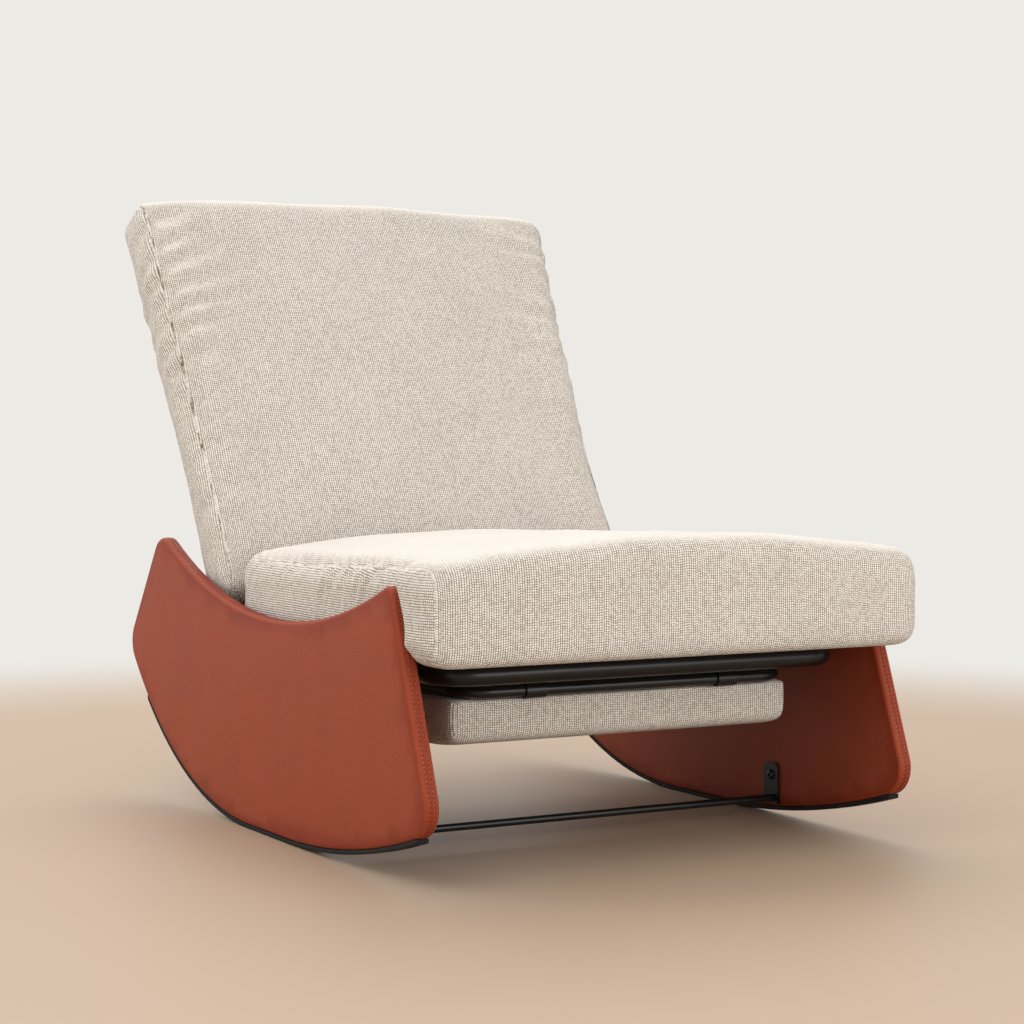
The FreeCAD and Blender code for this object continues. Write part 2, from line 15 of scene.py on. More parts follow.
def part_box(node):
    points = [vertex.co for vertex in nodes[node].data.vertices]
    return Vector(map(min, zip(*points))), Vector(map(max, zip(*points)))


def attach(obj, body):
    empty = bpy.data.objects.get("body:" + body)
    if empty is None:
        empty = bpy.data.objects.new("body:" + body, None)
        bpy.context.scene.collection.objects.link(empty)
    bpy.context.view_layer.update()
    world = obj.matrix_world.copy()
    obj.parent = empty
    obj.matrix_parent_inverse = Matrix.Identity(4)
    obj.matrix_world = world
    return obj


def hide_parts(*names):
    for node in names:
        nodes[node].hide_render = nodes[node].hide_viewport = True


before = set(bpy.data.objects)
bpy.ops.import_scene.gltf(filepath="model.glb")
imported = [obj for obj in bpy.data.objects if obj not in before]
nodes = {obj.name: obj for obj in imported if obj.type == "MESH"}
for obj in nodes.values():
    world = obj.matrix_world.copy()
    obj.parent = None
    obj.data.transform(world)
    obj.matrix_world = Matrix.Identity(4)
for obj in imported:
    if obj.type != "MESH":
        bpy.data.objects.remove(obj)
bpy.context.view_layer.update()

front_tube_low, front_tube_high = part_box("seat_front_tube")
DRAWN_ZERO_Y = (front_tube_low.y + front_tube_high.y) / 2 + 0.335  # where the part's drawing has its Y = 0

# %% [markdown]
# ## The view
# The photograph looks at the chair from its left front corner, from a little above the seat,
# through a long lens.
# The camera's place was fitted to the corners of the boards and cushions, so it is only written down here.

# %% Camera
bpy.ops.object.select_all(action="DESELECT")
bpy.ops.object.camera_add(location=(-1.60725, DRAWN_ZERO_Y - 2.86676, 0.55618),
                          rotation=(math.radians(88.0675), 0.0, math.radians(-29.0)))
camera = bpy.context.object
camera.data.sensor_width = 36.0
camera.data.lens = 80.86
bpy.context.scene.camera = camera
print("camera lens", camera.data.lens)

# %% [markdown]
# ## The studio
# A plain pale floor runs far back, and a pale world stands behind it as the wall. The floor is only a stage,
# so one wide plane is enough, and its paint fades into the wall.


# %% Helpers to pick what an operator acts on
def make_active(obj):
    bpy.ops.object.select_all(action="DESELECT")
    obj.select_set(True)
    bpy.context.view_layer.objects.active = obj


def choose(obj, kind, rule):
    """In edit mode, selects the vertices, edges or faces that a rule says yes to."""
    bpy.ops.mesh.select_mode(type=kind)
    bpy.ops.mesh.select_all(action="DESELECT")
    work = bmesh.from_edit_mesh(obj.data)
    parts = {"VERT": work.verts, "EDGE": work.edges, "FACE": work.faces}[kind]
    work.normal_update()
    chosen = [part for part in parts if rule(part)]
    for part in chosen:
        part.select_set(True)
    bmesh.update_edit_mesh(obj.data)
    return len(chosen)


def middle_of(part):
    if isinstance(part, bmesh.types.BMFace):
        return part.calc_center_median()
    return (part.verts[0].co + part.verts[1].co) / 2


# %% Floor
bpy.ops.mesh.primitive_plane_add(size=60.0, location=(0.0, 0.0, 0.0))
floor = bpy.context.object
floor.name = "studio_floor"
print("floor", [round(x) for x in floor.dimensions])


# %% [markdown]
# ## Light
# The room in the photograph is bright and even. A pale world fills the shadows,
# a wide soft lamp stands above the left front, others lift the top and the left side,
# and a low one reaches the leg rest.

# %% Soft lamps and a pale world
def soft_lamp(name, place, aim, size, power):
    bpy.ops.object.light_add(type="AREA", location=place)
    lamp = bpy.context.object
    lamp.name = name
    lamp.data.size = size
    lamp.data.energy = power
    lamp.visible_camera = False
    lamp.rotation_euler = (Vector(aim) - Vector(place)).to_track_quat("-Z", "Y").to_euler()
    return lamp


soft_lamp("key_lamp", (-2.6, -1.6, 3.4), (0.0, 0.0, 0.4), 2.6, 40.0)
soft_lamp("rear_lamp", (0.8, 1.9, 3.4), (0.0, -0.2, 0.4), 2.8, 68.0)
soft_lamp("left_lamp", (-2.7, 1.2, 2.0), (0.0, -0.2, 0.4), 2.0, 26.0)
soft_lamp("front_lamp", (0.9, -3.2, 0.7), (0.0, -0.1, 0.10), 1.8, 40.0)
WALL_LIGHT = (0.845, 0.825, 0.79, 1.0)
room = bpy.data.worlds.new("pale_room")
bpy.context.scene.world = room
room.use_nodes = True
sky = room.node_tree.nodes["Background"]
sky.inputs["Color"].default_value = (0.87, 0.85, 0.82, 1.0)
sky.inputs["Strength"].default_value = 1.08
wall = room.node_tree.nodes.new("ShaderNodeBackground")
wall.inputs["Color"].default_value = WALL_LIGHT
seen = room.node_tree.nodes.new("ShaderNodeLightPath").outputs["Is Camera Ray"]
either = room.node_tree.nodes.new("ShaderNodeMixShader")
for wire in ((seen, either.inputs[0]), (sky.outputs["Background"], either.inputs[1]),
             (wall.outputs["Background"], either.inputs[2]),
             (either.outputs["Shader"], room.node_tree.nodes["World Output"].inputs["Surface"])):
    room.node_tree.links.new(*wire)
bpy.context.scene.view_settings.view_transform = "Standard"


# %% [markdown]
# ## Finishes
# Each finish is a small node tree. It starts from a place on the piece, makes a pattern at the real scale,
# and drives colour, roughness and bump with it. A few short helpers keep the trees readable.

# %% Helpers for node trees
def new_finish(name):
    finish = bpy.data.materials.new(name)
    finish.use_nodes = True
    return finish, finish.node_tree, finish.node_tree.nodes["Principled BSDF"]


def add(tree, kind, inputs=None, **settings):
    """Adds a node. An input is a plain value, or a socket of another node to link from."""
    node = tree.nodes.new(kind)
    for name, value in settings.items():
        setattr(node, name, value)
    for key, value in (inputs or {}).items():
        if isinstance(value, bpy.types.NodeSocket):
            tree.links.new(value, node.inputs[key])
        else:
            node.inputs[key].default_value = value
    return node


def reckon(tree, operation, a, b=0.0):
    return add(tree, "ShaderNodeMath", {0: a, 1: b}, operation=operation).outputs[0]


def shades(tree, factor, *stops):
    """A colour ramp: each stop is a place from 0 to 1 and a colour."""
    ramp = add(tree, "ShaderNodeValToRGB", {"Fac": factor})
    while len(ramp.color_ramp.elements) < len(stops):
        ramp.color_ramp.elements.new(0.5)
    for element, (place, colour) in zip(ramp.color_ramp.elements, stops):
        element.position = place
        element.color = (*colour, 1.0)
    return ramp.outputs["Color"]


def grey(value):
    return (value, value, value)


def noise(tree, place, scale, detail=2.0, roughness=0.5):
    inputs = {"Vector": place, "Scale": scale, "Detail": detail, "Roughness": roughness}
    return add(tree, "ShaderNodeTexNoise", inputs).outputs["Fac"]


def bump(tree, height, distance, strength=1.0, under=None):
    inputs = {"Height": height, "Distance": distance, "Strength": strength}
    if under is not None:
        inputs["Normal"] = under
    return add(tree, "ShaderNodeBump", inputs).outputs["Normal"]


# %% [markdown]
# ### Floor paint
# The floor is plain, warm and pale round the chair. Further out it gives off the same light as the world
# behind it, so floor and wall run into each other without a line, from whichever side the chair is seen.

# %% Floor finish
floor_paint, tree, shader = new_finish("floor_paint")
place = add(tree, "ShaderNodeTexCoord").outputs["Object"]
away = add(tree, "ShaderNodeVectorMath", {0: place}, operation="LENGTH").outputs["Value"]
share = add(tree, "ShaderNodeMapRange", {"Value": away, "From Min": 1.35, "From Max": 2.6},
            interpolation_type="SMOOTHSTEP").outputs["Result"]
shader.inputs["Base Color"].default_value = (0.41, 0.300, 0.212, 1.0)
shader.inputs["Roughness"].default_value = 0.55
glow = add(tree, "ShaderNodeEmission", {"Color": WALL_LIGHT, "Strength": 1.0})
faded = add(tree, "ShaderNodeMixShader", {0: share, 1: shader.outputs["BSDF"], 2: glow.outputs["Emission"]})
tree.links.new(faded.outputs["Shader"], tree.nodes["Material Output"].inputs["Surface"])
floor.data.materials.append(floor_paint)

# %% [markdown]
# ### Leather
# The boards wear a terracotta hide with a fine pebbled grain. Cells of about a millimetre and a half make it,
# a slow noise mottles the dye, and the rolled edges are a little lighter.

# %% Leather finish
leather, tree, shader = new_finish("terracotta_leather")
place = add(tree, "ShaderNodeTexCoord").outputs["Object"]
mottle = noise(tree, place, 14.0, 5.0, 0.6)
dye = shades(tree, mottle, (0.25, (0.200, 0.026, 0.0079)), (0.5, (0.243, 0.033, 0.0100)),
             (0.78, (0.280, 0.042, 0.0140)))
rubbed = add(tree, "ShaderNodeAttribute", attribute_name="rubbed").outputs["Fac"]
dye_lighter_on_roll = add(tree, "ShaderNodeMix", {"Factor": rubbed, 6: dye, 7: (0.39, 0.082, 0.034, 1.0)}, data_type="RGBA")
cells = add(tree, "ShaderNodeTexVoronoi", {"Vector": place, "Scale": 620.0}, feature="SMOOTH_F1")
grain = cells.outputs["Distance"]
pores = noise(tree, place, 1700.0, 2.0)
tone = shades(tree, grain, (0.0, grey(1.0)), (0.8, grey(0.80)))
tinted = add(tree, "ShaderNodeMix", {"Factor": 0.6, 6: dye_lighter_on_roll.outputs[2], 7: tone}, data_type="RGBA",
             blend_type="MULTIPLY")
tree.links.new(tinted.outputs[2], shader.inputs["Base Color"])
waves = noise(tree, place, 32.0, 3.0)
slow = bump(tree, waves, 0.0012, 0.35)
pebbled = bump(tree, grain, 0.0004, 0.6, slow)
tree.links.new(bump(tree, pores, 0.0001, 0.3, pebbled), shader.inputs["Normal"])
gloss = add(tree, "ShaderNodeMapRange", {"Value": mottle, "To Min": 0.44, "To Max": 0.58}).outputs["Result"]
tree.links.new(gloss, shader.inputs["Roughness"])
shader.inputs["Specular IOR Level"].default_value = 0.18

# %% Thread finish
thread, tree, shader = new_finish("waxed_thread")
place = add(tree, "ShaderNodeTexCoord").outputs["Object"]
twist = noise(tree, place, 900.0, 2.0)
tree.links.new(shades(tree, twist, (0.3, (0.30, 0.085, 0.050)), (0.7, (0.55, 0.22, 0.15))),
               shader.inputs["Base Color"])
tree.links.new(bump(tree, twist, 0.0003, 0.6), shader.inputs["Normal"])
shader.inputs["Roughness"].default_value = 0.55

# %% [markdown]
# ### Woven cloth
# The cushions wear a chunky ivory weave: columns of small nubs of yarn, about three millimetres apart.
# A cloth lies along the cushion, so the pattern reads a UV map that is laid in metres, round its edges.
# Each column starts its nubs at its own height. The gaps between the nubs are painted dark as shade,
# and where a surface faces up that painted shade is lifted to a lighter tone, a painted lighter top.

# %% Woven finish
COLUMN, ROW = 0.0033, 0.0031


def along_yarns(tree, along, sharp):
    """A ridge along each yarn: 0 in the gap, 1 on top."""
    wave = reckon(tree, "ABSOLUTE", reckon(tree, "SINE", reckon(tree, "MULTIPLY", along, math.pi)))
    return reckon(tree, "POWER", wave, sharp)


ivory, tree, shader = new_finish("ivory_weave")
way = add(tree, "ShaderNodeUVMap", uv_map="cloth_way").outputs["UV"]
place = add(tree, "ShaderNodeTexCoord").outputs["Object"]
split = add(tree, "ShaderNodeSeparateXYZ", {"Vector": way}).outputs
wander = add(tree, "ShaderNodeTexNoise", {"Vector": place, "Scale": 70.0, "Detail": 3.0}).outputs["Color"]
drift = add(tree, "ShaderNodeSeparateXYZ", {"Vector": wander}).outputs
sway, slip = reckon(tree, "MULTIPLY", drift["X"], 0.5), reckon(tree, "MULTIPLY", drift["Y"], 0.9)
across = reckon(tree, "ADD", reckon(tree, "DIVIDE", split["X"], COLUMN), sway)
along = reckon(tree, "ADD", reckon(tree, "DIVIDE", split["Y"], ROW), slip)
cell_x = reckon(tree, "FLOOR", across)
own = add(tree, "ShaderNodeTexWhiteNoise", {"W": cell_x}, noise_dimensions="1D").outputs["Value"]
stepped = reckon(tree, "ADD", along, reckon(tree, "MULTIPLY", own, 0.6))
cell_y = reckon(tree, "FLOOR", stepped)
cell = add(tree, "ShaderNodeCombineXYZ", {"X": cell_x, "Y": cell_y}).outputs["Vector"]
lot = add(tree, "ShaderNodeTexWhiteNoise", {"Vector": cell}, noise_dimensions="2D").outputs["Value"]
plump = add(tree, "ShaderNodeMapRange", {"Value": lot, "To Min": 0.66, "To Max": 1.0}).outputs["Result"]
ends = add(tree, "ShaderNodeMapRange", {"Value": along_yarns(tree, stepped, 0.65), "To Min": 0.30})
flanks = add(tree, "ShaderNodeMapRange", {"Value": along_yarns(tree, across, 0.65), "To Min": 0.10})
nub = reckon(tree, "MULTIPLY", flanks.outputs["Result"], ends.outputs["Result"])
height = reckon(tree, "MULTIPLY", nub, plump)
normal = add(tree, "ShaderNodeTexCoord").outputs["Normal"]
facing = add(tree, "ShaderNodeSeparateXYZ", {"Vector": normal}).outputs["Z"]
# Painted lighter top: the more a surface faces up, the more its painted gap shade is lifted to a mid tone.
painted_lit_top = add(tree, "ShaderNodeMapRange",
              {"Value": facing, "From Min": 0.55, "From Max": 0.95, "To Max": 0.78})
painted_lit_top_mix = {"Factor": painted_lit_top.outputs["Result"], 2: height, 3: 0.60}
relief_and_painted_gap_shade = add(tree, "ShaderNodeMix", painted_lit_top_mix, data_type="FLOAT").outputs[0]
# The dark stops of the yarn's colour are painted shade in the gaps between the nubs; the bump reads the same
# relief.
yarn = shades(tree, relief_and_painted_gap_shade, (0.05, (0.085, 0.063, 0.042)), (0.36, (0.40, 0.345, 0.285)),
              (0.72, (0.83, 0.79, 0.735)))
slub = noise(tree, place, 9.0, 4.0, 0.6)
cast = shades(tree, slub, (0.3, grey(0.93)), (0.7, grey(1.0)))
tinted = add(tree, "ShaderNodeMix", {"Factor": 1.0, 6: yarn, 7: cast}, data_type="RGBA",
             blend_type="MULTIPLY")
tree.links.new(tinted.outputs[2], shader.inputs["Base Color"])
fuzz = noise(tree, place, 2600.0, 2.0)
woven = bump(tree, relief_and_painted_gap_shade, 0.0014, 0.75)
tree.links.new(bump(tree, fuzz, 0.0003, 0.4, woven), shader.inputs["Normal"])
shader.inputs["Roughness"].default_value = 0.92
shader.inputs["Specular IOR Level"].default_value = 0.2
shader.inputs["Sheen Weight"].default_value = 0.12
shader.inputs["Sheen Roughness"].default_value = 0.5


# %% [markdown]
# ### Hard and hidden finishes
# Tubes and plates are powder coated in satin black, with a fine orange peel. Fasteners are blacked steel,
# guides are moulded plastic, runners are ribbed rubber, straps are dark webbing, and the core is plywood.

# %% Plain dark finishes
def dark_finish(name, low, high, scale, depth, rough_low, rough_high):
    finish, tree, shader = new_finish(name)
    place = add(tree, "ShaderNodeTexCoord").outputs["Object"]
    peel = noise(tree, place, scale, 3.0)
    cloud = noise(tree, place, 22.0, 4.0, 0.6)
    tree.links.new(shades(tree, cloud, (0.3, low), (0.7, high)), shader.inputs["Base Color"])
    rough = add(tree, "ShaderNodeMapRange", {"Value": cloud, "To Min": rough_low, "To Max": rough_high})
    tree.links.new(rough.outputs["Result"], shader.inputs["Roughness"])
    tree.links.new(bump(tree, peel, depth, 0.35), shader.inputs["Normal"])
    return finish, tree, shader


powder_black, _, _ = dark_finish("powder_black", grey(0.004), grey(0.007), 700.0, 0.00012, 0.28, 0.38)
powder_black.node_tree.nodes["Principled BSDF"].inputs["Specular IOR Level"].default_value = 0.35
blacked_steel, _, _ = dark_finish("blacked_steel", grey(0.016), grey(0.03), 1500.0, 0.00005, 0.26, 0.40)
blacked_steel.node_tree.nodes["Principled BSDF"].inputs["Metallic"].default_value = 0.6
moulded_plastic, _, _ = dark_finish("moulded_plastic", grey(0.016), grey(0.024), 1100.0, 0.0001, 0.48, 0.6)
rubber, tree, shader = dark_finish("ribbed_rubber", grey(0.005), grey(0.009), 900.0, 0.0001, 0.62, 0.78)
place = add(tree, "ShaderNodeTexCoord").outputs["Object"]
length = add(tree, "ShaderNodeSeparateXYZ", {"Vector": place}).outputs["Y"]
ribs = reckon(tree, "SINE", reckon(tree, "MULTIPLY", length, 2 * math.pi / 0.0042))
peel_normal = shader.inputs["Normal"].links[0].from_socket
shader.inputs["Specular IOR Level"].default_value = 0.25
tree.links.new(bump(tree, ribs, 0.0004, 0.7, peel_normal), shader.inputs["Normal"])

# %% Webbing finish
webbing, tree, shader = new_finish("dark_webbing")
place = add(tree, "ShaderNodeTexCoord").outputs["Object"]
split = add(tree, "ShaderNodeSeparateXYZ", {"Vector": place}).outputs
picks = along_yarns(tree, reckon(tree, "DIVIDE", split["X"], 0.0022), 0.7)
slope = reckon(tree, "ADD", reckon(tree, "MULTIPLY", split["Y"], 0.6), split["Z"])
cords = along_yarns(tree, reckon(tree, "DIVIDE", slope, 0.0016), 0.7)
rise = reckon(tree, "MULTIPLY", picks, cords)
tree.links.new(shades(tree, rise, (0.1, grey(0.008)), (0.9, (0.032, 0.031, 0.030))),
               shader.inputs["Base Color"])
tree.links.new(bump(tree, rise, 0.0005, 0.6), shader.inputs["Normal"])
shader.inputs["Roughness"].default_value = 0.8

# %% Plywood finish
plywood, tree, shader = new_finish("plain_plywood")
place = add(tree, "ShaderNodeTexCoord").outputs["Object"]
stretched = add(tree, "ShaderNodeMapping", {"Vector": place, "Scale": (60.0, 4.0, 30.0)}).outputs["Vector"]
figure = noise(tree, stretched, 3.0, 6.0, 0.6)
tree.links.new(shades(tree, figure, (0.3, (0.36, 0.22, 0.11)), (0.7, (0.60, 0.43, 0.26))),
               shader.inputs["Base Color"])
tree.links.new(bump(tree, figure, 0.0003, 0.4), shader.inputs["Normal"])
shader.inputs["Roughness"].default_value = 0.7
print("finishes", [m.name for m in bpy.data.materials if m.users or m.use_nodes])


# %% [markdown]
# ## Finishes on the CAD's own pieces
# The tubes, plates, guides and screws already have the right shape, so they only get a finish in their slots.

# %% Put finishes on the nodes
def wear(obj, finish):
    if not obj.material_slots:
        obj.data.materials.append(finish)
    for socket in obj.material_slots:
        socket.material = finish


by_word = [("bolts", blacked_steel), ("screws", blacked_steel), ("strip", rubber), ("core", plywood),
           ("pad_board", plywood), ("guide_blocks", moulded_plastic), ("stop_caps", moulded_plastic),
           ("bushes", moulded_plastic), ("discs", moulded_plastic), ("webbing", webbing),
           ("cushion", ivory), ("cover", leather), ("gusset", leather)]
for name, node in nodes.items():
    finish = next((f for word, f in by_word if word in name), powder_black)
    wear(node, finish)
print("dressed", len(nodes), "nodes")


# %% [markdown]
# ## Leather boards
# Each side board is a core wrapped in leather: two faces that roll over the edge and meet in a double
# stitched seam round the rim. The outline is copied from the CAD cover, made one flat face, pulled out
# to the board's thickness, rolled at its edges with a bevel, and cut along the rim so that the two
# stitched lines can be pressed in.

# %% Copy a node to model from
def copy_of(node, name):
    """A copy of a CAD node with its loose triangles merged, ready to be modelled."""
    mesh = nodes[node].data.copy()
    mesh.name = name
    mesh.materials.clear()
    piece = bpy.data.objects.new(name, mesh)
    bpy.context.scene.collection.objects.link(piece)
    make_active(piece)
    bpy.ops.mesh.customdata_custom_splitnormals_clear()
    bpy.ops.object.mode_set(mode="EDIT")
    bpy.ops.mesh.select_all(action="SELECT")
    bpy.ops.mesh.remove_doubles(threshold=0.00001)
    bpy.ops.object.mode_set(mode="OBJECT")
    return piece


# %% The board's blank
INNER_X, OUTER_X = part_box("right_side_inner_cover")[0].x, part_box("right_side_outer_cover")[1].x
RIM_X = (INNER_X + OUTER_X) / 2
board = copy_of("right_side_outer_cover", "right_board_leather")
layer_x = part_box("right_side_outer_cover")[0].x
bpy.ops.object.mode_set(mode="EDIT")
choose(board, "FACE", lambda f: abs(middle_of(f).x - layer_x) > 0.00002 or abs(f.normal.x) < 0.99)
bpy.ops.mesh.delete(type="FACE")
bpy.ops.mesh.select_all(action="SELECT")
bpy.ops.mesh.dissolve_limited(angle_limit=math.radians(1.0))
bpy.ops.mesh.select_all(action="SELECT")
bpy.ops.transform.translate(value=(INNER_X - layer_x, 0.0, 0.0))
bpy.ops.mesh.extrude_region_move(TRANSFORM_OT_translate={"value": (OUTER_X - INNER_X, 0.0, 0.0)})
bpy.ops.mesh.select_all(action="SELECT")
bpy.ops.mesh.normals_make_consistent(inside=False)
print("board blank", len(bmesh.from_edit_mesh(board.data).verts), "corners")

# %% Long rim edges get more points
LONGEST_STEP = 0.009


def lies_flat(edge):
    """Whether an edge stays on one side of the board."""
    return abs(edge.verts[0].co.x - edge.verts[1].co.x) < 0.0001


for _ in range(4):
    if choose(board, "EDGE", lambda e: e.calc_length() > LONGEST_STEP and lies_flat(e)):
        bpy.ops.mesh.subdivide(number_cuts=1)
print("rim points", len(bmesh.from_edit_mesh(board.data).verts))

# %% Rolled edges
ROLL = 0.0065
choose(board, "EDGE", lies_flat)
bpy.ops.mesh.bevel(offset=ROLL, segments=5, profile=0.5, clamp_overlap=True)
print("rolled", len(bmesh.from_edit_mesh(board.data).faces), "faces")

# %% Pressed seam lines round the rim
SEAM_OFFSET, SEAM_HALF = 0.0032, 0.0009
ring_xs = []
for seam_x in (RIM_X - SEAM_OFFSET, RIM_X + SEAM_OFFSET):
    ring_xs += [seam_x - SEAM_HALF, seam_x, seam_x + SEAM_HALF]
ring_xs += [RIM_X]
for ring_x in sorted(ring_xs):
    choose(board, "FACE", lambda f: abs(f.normal.x) < 0.2)
    bpy.ops.mesh.bisect(plane_co=(ring_x, 0.0, 0.0), plane_no=(1.0, 0.0, 0.0))


def move_ring(obj, ring_x, rise):
    choose(obj, "VERT", lambda v: abs(v.co.x - ring_x) < 0.0001)
    bpy.ops.transform.shrink_fatten(value=rise)


for seam_x in (RIM_X - SEAM_OFFSET, RIM_X + SEAM_OFFSET):
    move_ring(board, seam_x, -0.0011)
move_ring(board, RIM_X, 0.0005)
print("seamed", len(bmesh.from_edit_mesh(board.data).faces), "faces")

# %% A grid on the two faces, and their soft crown
for step in np.arange(-0.54, 0.50, 0.02):
    choose(board, "FACE", lambda f: abs(f.normal.x) > 0.999)
    bpy.ops.mesh.bisect(plane_co=(0.0, float(step), 0.0), plane_no=(0.0, 1.0, 0.0))
for step in np.arange(0.02, 0.40, 0.02):
    choose(board, "FACE", lambda f: abs(f.normal.x) > 0.999)
    bpy.ops.mesh.bisect(plane_co=(0.0, 0.0, float(step)), plane_no=(0.0, 0.0, 1.0))
bpy.ops.object.mode_set(mode="OBJECT")


def places_of(obj):
    places = np.empty(len(obj.data.vertices) * 3)
    obj.data.vertices.foreach_get("co", places)
    return places.reshape(-1, 3)


def set_places(obj, places):
    obj.data.vertices.foreach_set("co", places.astype(np.float32).ravel())
    obj.data.update()


points = places_of(board)
on_face = (np.abs(points[:, 0] - INNER_X) < 0.00005) | (np.abs(points[:, 0] - OUTER_X) < 0.00005)
rim = points[np.abs(points[:, 0] - RIM_X) < 0.0001]
inside = np.array([np.min(np.hypot(rim[:, 1] - p[1], rim[:, 2] - p[2])) for p in points[on_face]])
slow_wave = 0.0005 * np.sin(points[on_face, 1] * 23.0 + 1.3) * np.cos(points[on_face, 2] * 31.0)
padding = 0.0013 * (1 - np.exp(-np.maximum(inside - ROLL, 0.0) / 0.022))
crown = padding + slow_wave * np.clip(inside / 0.06, 0, 1)
side = np.sign(points[on_face, 0] - RIM_X)
points[on_face, 0] += side * crown
set_places(board, points)
# Points on the rolled edges get a share of a lighter tone of the dye.
rubbed = np.zeros(len(points))
edge_gap = np.minimum(np.abs(points[:, 0] - INNER_X), np.abs(points[:, 0] - OUTER_X))
rubbed[(edge_gap > 0.0004) & (edge_gap < 0.0062)] = 0.35
board.data.attributes.new("rubbed", "FLOAT", "POINT").data.foreach_set("value", rubbed.astype(np.float32))
make_active(board)
bpy.ops.object.shade_smooth_by_angle(angle=math.radians(50.0))
board.data.materials.append(leather)
print("board faces", len(board.data.polygons))

# %% [markdown]
# ### Stitches
# A stitch is a short slack thread, thinner at its ends. One is modelled, an Array modifier repeats it,
# and a Curve modifier lays the row along the pressed line, which is lifted off the board as a curve.

# %% One row of stitches
STITCH_PITCH = 0.0058


def stitch_row(name, seam_x):
    make_active(board)
    bpy.ops.object.mode_set(mode="EDIT")
    choose(board, "EDGE", lambda e: all(abs(v.co.x - seam_x) < 0.0001 for v in e.verts))
    bpy.ops.mesh.duplicate()
    bpy.ops.mesh.separate(type="SELECTED")
    bpy.ops.object.mode_set(mode="OBJECT")
    path = [o for o in bpy.context.selected_objects if o != board][0]
    make_active(path)
    bpy.ops.object.convert(target="CURVE")
    path = bpy.context.object
    length = sum(s.calc_length() for s in path.data.splines)
    bpy.ops.mesh.primitive_uv_sphere_add(segments=6, ring_count=5, radius=0.5)
    row = bpy.context.object
    row.name = name
    bpy.ops.object.mode_set(mode="EDIT")
    bpy.ops.mesh.select_all(action="SELECT")
    bpy.ops.transform.rotate(value=math.radians(90.0), orient_axis="Y", center_override=(0.0, 0.0, 0.0))
    bpy.ops.transform.resize(value=(0.0041, 0.0015, 0.0015))
    bpy.ops.object.mode_set(mode="OBJECT")
    repeat = row.modifiers.new("Repeat", "ARRAY")
    repeat.count = int(length / STITCH_PITCH)
    repeat.use_relative_offset = False
    repeat.use_constant_offset = True
    repeat.constant_offset_displace = (length / repeat.count, 0.0, 0.0)
    follow = row.modifiers.new("Follow", "CURVE")
    follow.object = path
    make_active(row)
    bpy.ops.object.modifier_apply(modifier="Repeat")
    bpy.ops.object.modifier_apply(modifier="Follow")
    bpy.ops.object.shade_smooth()
    bpy.data.objects.remove(path)
    row.data.materials.append(thread)
    return row


rows = [stitch_row("stitches", RIM_X - SEAM_OFFSET), stitch_row("stitches", RIM_X + SEAM_OFFSET)]
make_active(rows[0])
rows[1].select_set(True)
bpy.ops.object.join()
stitches = bpy.context.object
stitches.name = "right_board_stitches"
print("stitch faces", len(stitches.data.polygons), "spread", [round(x, 3) for x in stitches.dimensions])


# %% The left board mirrors the right one
def mirrored_copy(obj, name):
    twin = obj.copy()
    twin.data = obj.data.copy()
    twin.name = name
    bpy.context.scene.collection.objects.link(twin)
    make_active(twin)
    bpy.ops.object.mode_set(mode="EDIT")
    bpy.ops.mesh.select_all(action="SELECT")
    bpy.ops.transform.resize(value=(-1.0, 1.0, 1.0), center_override=(0.0, 0.0, 0.0))
    bpy.ops.mesh.normals_make_consistent(inside=False)
    bpy.ops.object.mode_set(mode="OBJECT")
    return twin


left_board = mirrored_copy(board, "left_board_leather")
left_stitches = mirrored_copy(stitches, "left_board_stitches")
for hand, skin, sewing in (("right", board, stitches), ("left", left_board, left_stitches)):
    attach(skin, "base")
    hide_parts(hand + "_side_outer_cover", hand + "_side_inner_cover", hand + "_side_edge_gusset")
    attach(sewing, "base")
print("boards dressed")


# %% [markdown]
# ## Rubber runners
# A runner of ribbed rubber lies under each board. The CAD strip is sharp, so a copy gets rounded edges.

# %% Rubber runners
for hand in ("right", "left"):
    runner = copy_of(hand + "_rocker_strip", hand + "_rubber_runner")
    bpy.ops.object.mode_set(mode="EDIT")
    bpy.ops.mesh.select_all(action="SELECT")
    bpy.ops.mesh.dissolve_limited(angle_limit=math.radians(0.6))
    choose(runner, "EDGE", lambda e: e.is_manifold and e.calc_face_angle() > math.radians(50.0))
    bpy.ops.mesh.bevel(offset=0.0016, segments=3, clamp_overlap=True)
    bpy.ops.object.mode_set(mode="OBJECT")
    bpy.ops.object.shade_smooth_by_angle(angle=math.radians(35.0))
    runner.data.materials.append(rubber)
    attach(runner, "base")
    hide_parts(hand + "_rocker_strip")
    print(runner.name, len(runner.data.polygons), "faces")

# %% [markdown]
# ## Cushions
# Each cushion is a woven cover over foam. The CAD solid gives its size. A copy of it is remeshed into even
# small quads, drawn in a little, and then blown up as cloth, with the part that rests on the straps held.
# Beside the seams the cover is cut larger than its foam, so it gathers there as a sewn cover does.
# The seams are then cut in and pressed, and last come the larger puckers that run off from them.

# %% Blow up a cushion
def hold(obj, name, weights):
    group = obj.vertex_groups.new(name=name)
    for level in np.unique(np.round(weights, 2)):
        if level > 0:
            chosen = np.flatnonzero(np.abs(weights - level) < 0.006)
            group.add([int(i) for i in chosen], float(level), "REPLACE")
    return group.name


def remeshed(obj, voxel, draw_in):
    make_active(obj)
    obj.data.remesh_voxel_size = voxel
    bpy.ops.object.voxel_remesh()
    bpy.ops.object.mode_set(mode="EDIT")
    bpy.ops.mesh.select_all(action="SELECT")
    bpy.ops.mesh.vertices_smooth(factor=0.5, repeat=14)
    bpy.ops.transform.shrink_fatten(value=-draw_in)
    bpy.ops.object.mode_set(mode="OBJECT")
    return places_of(obj)


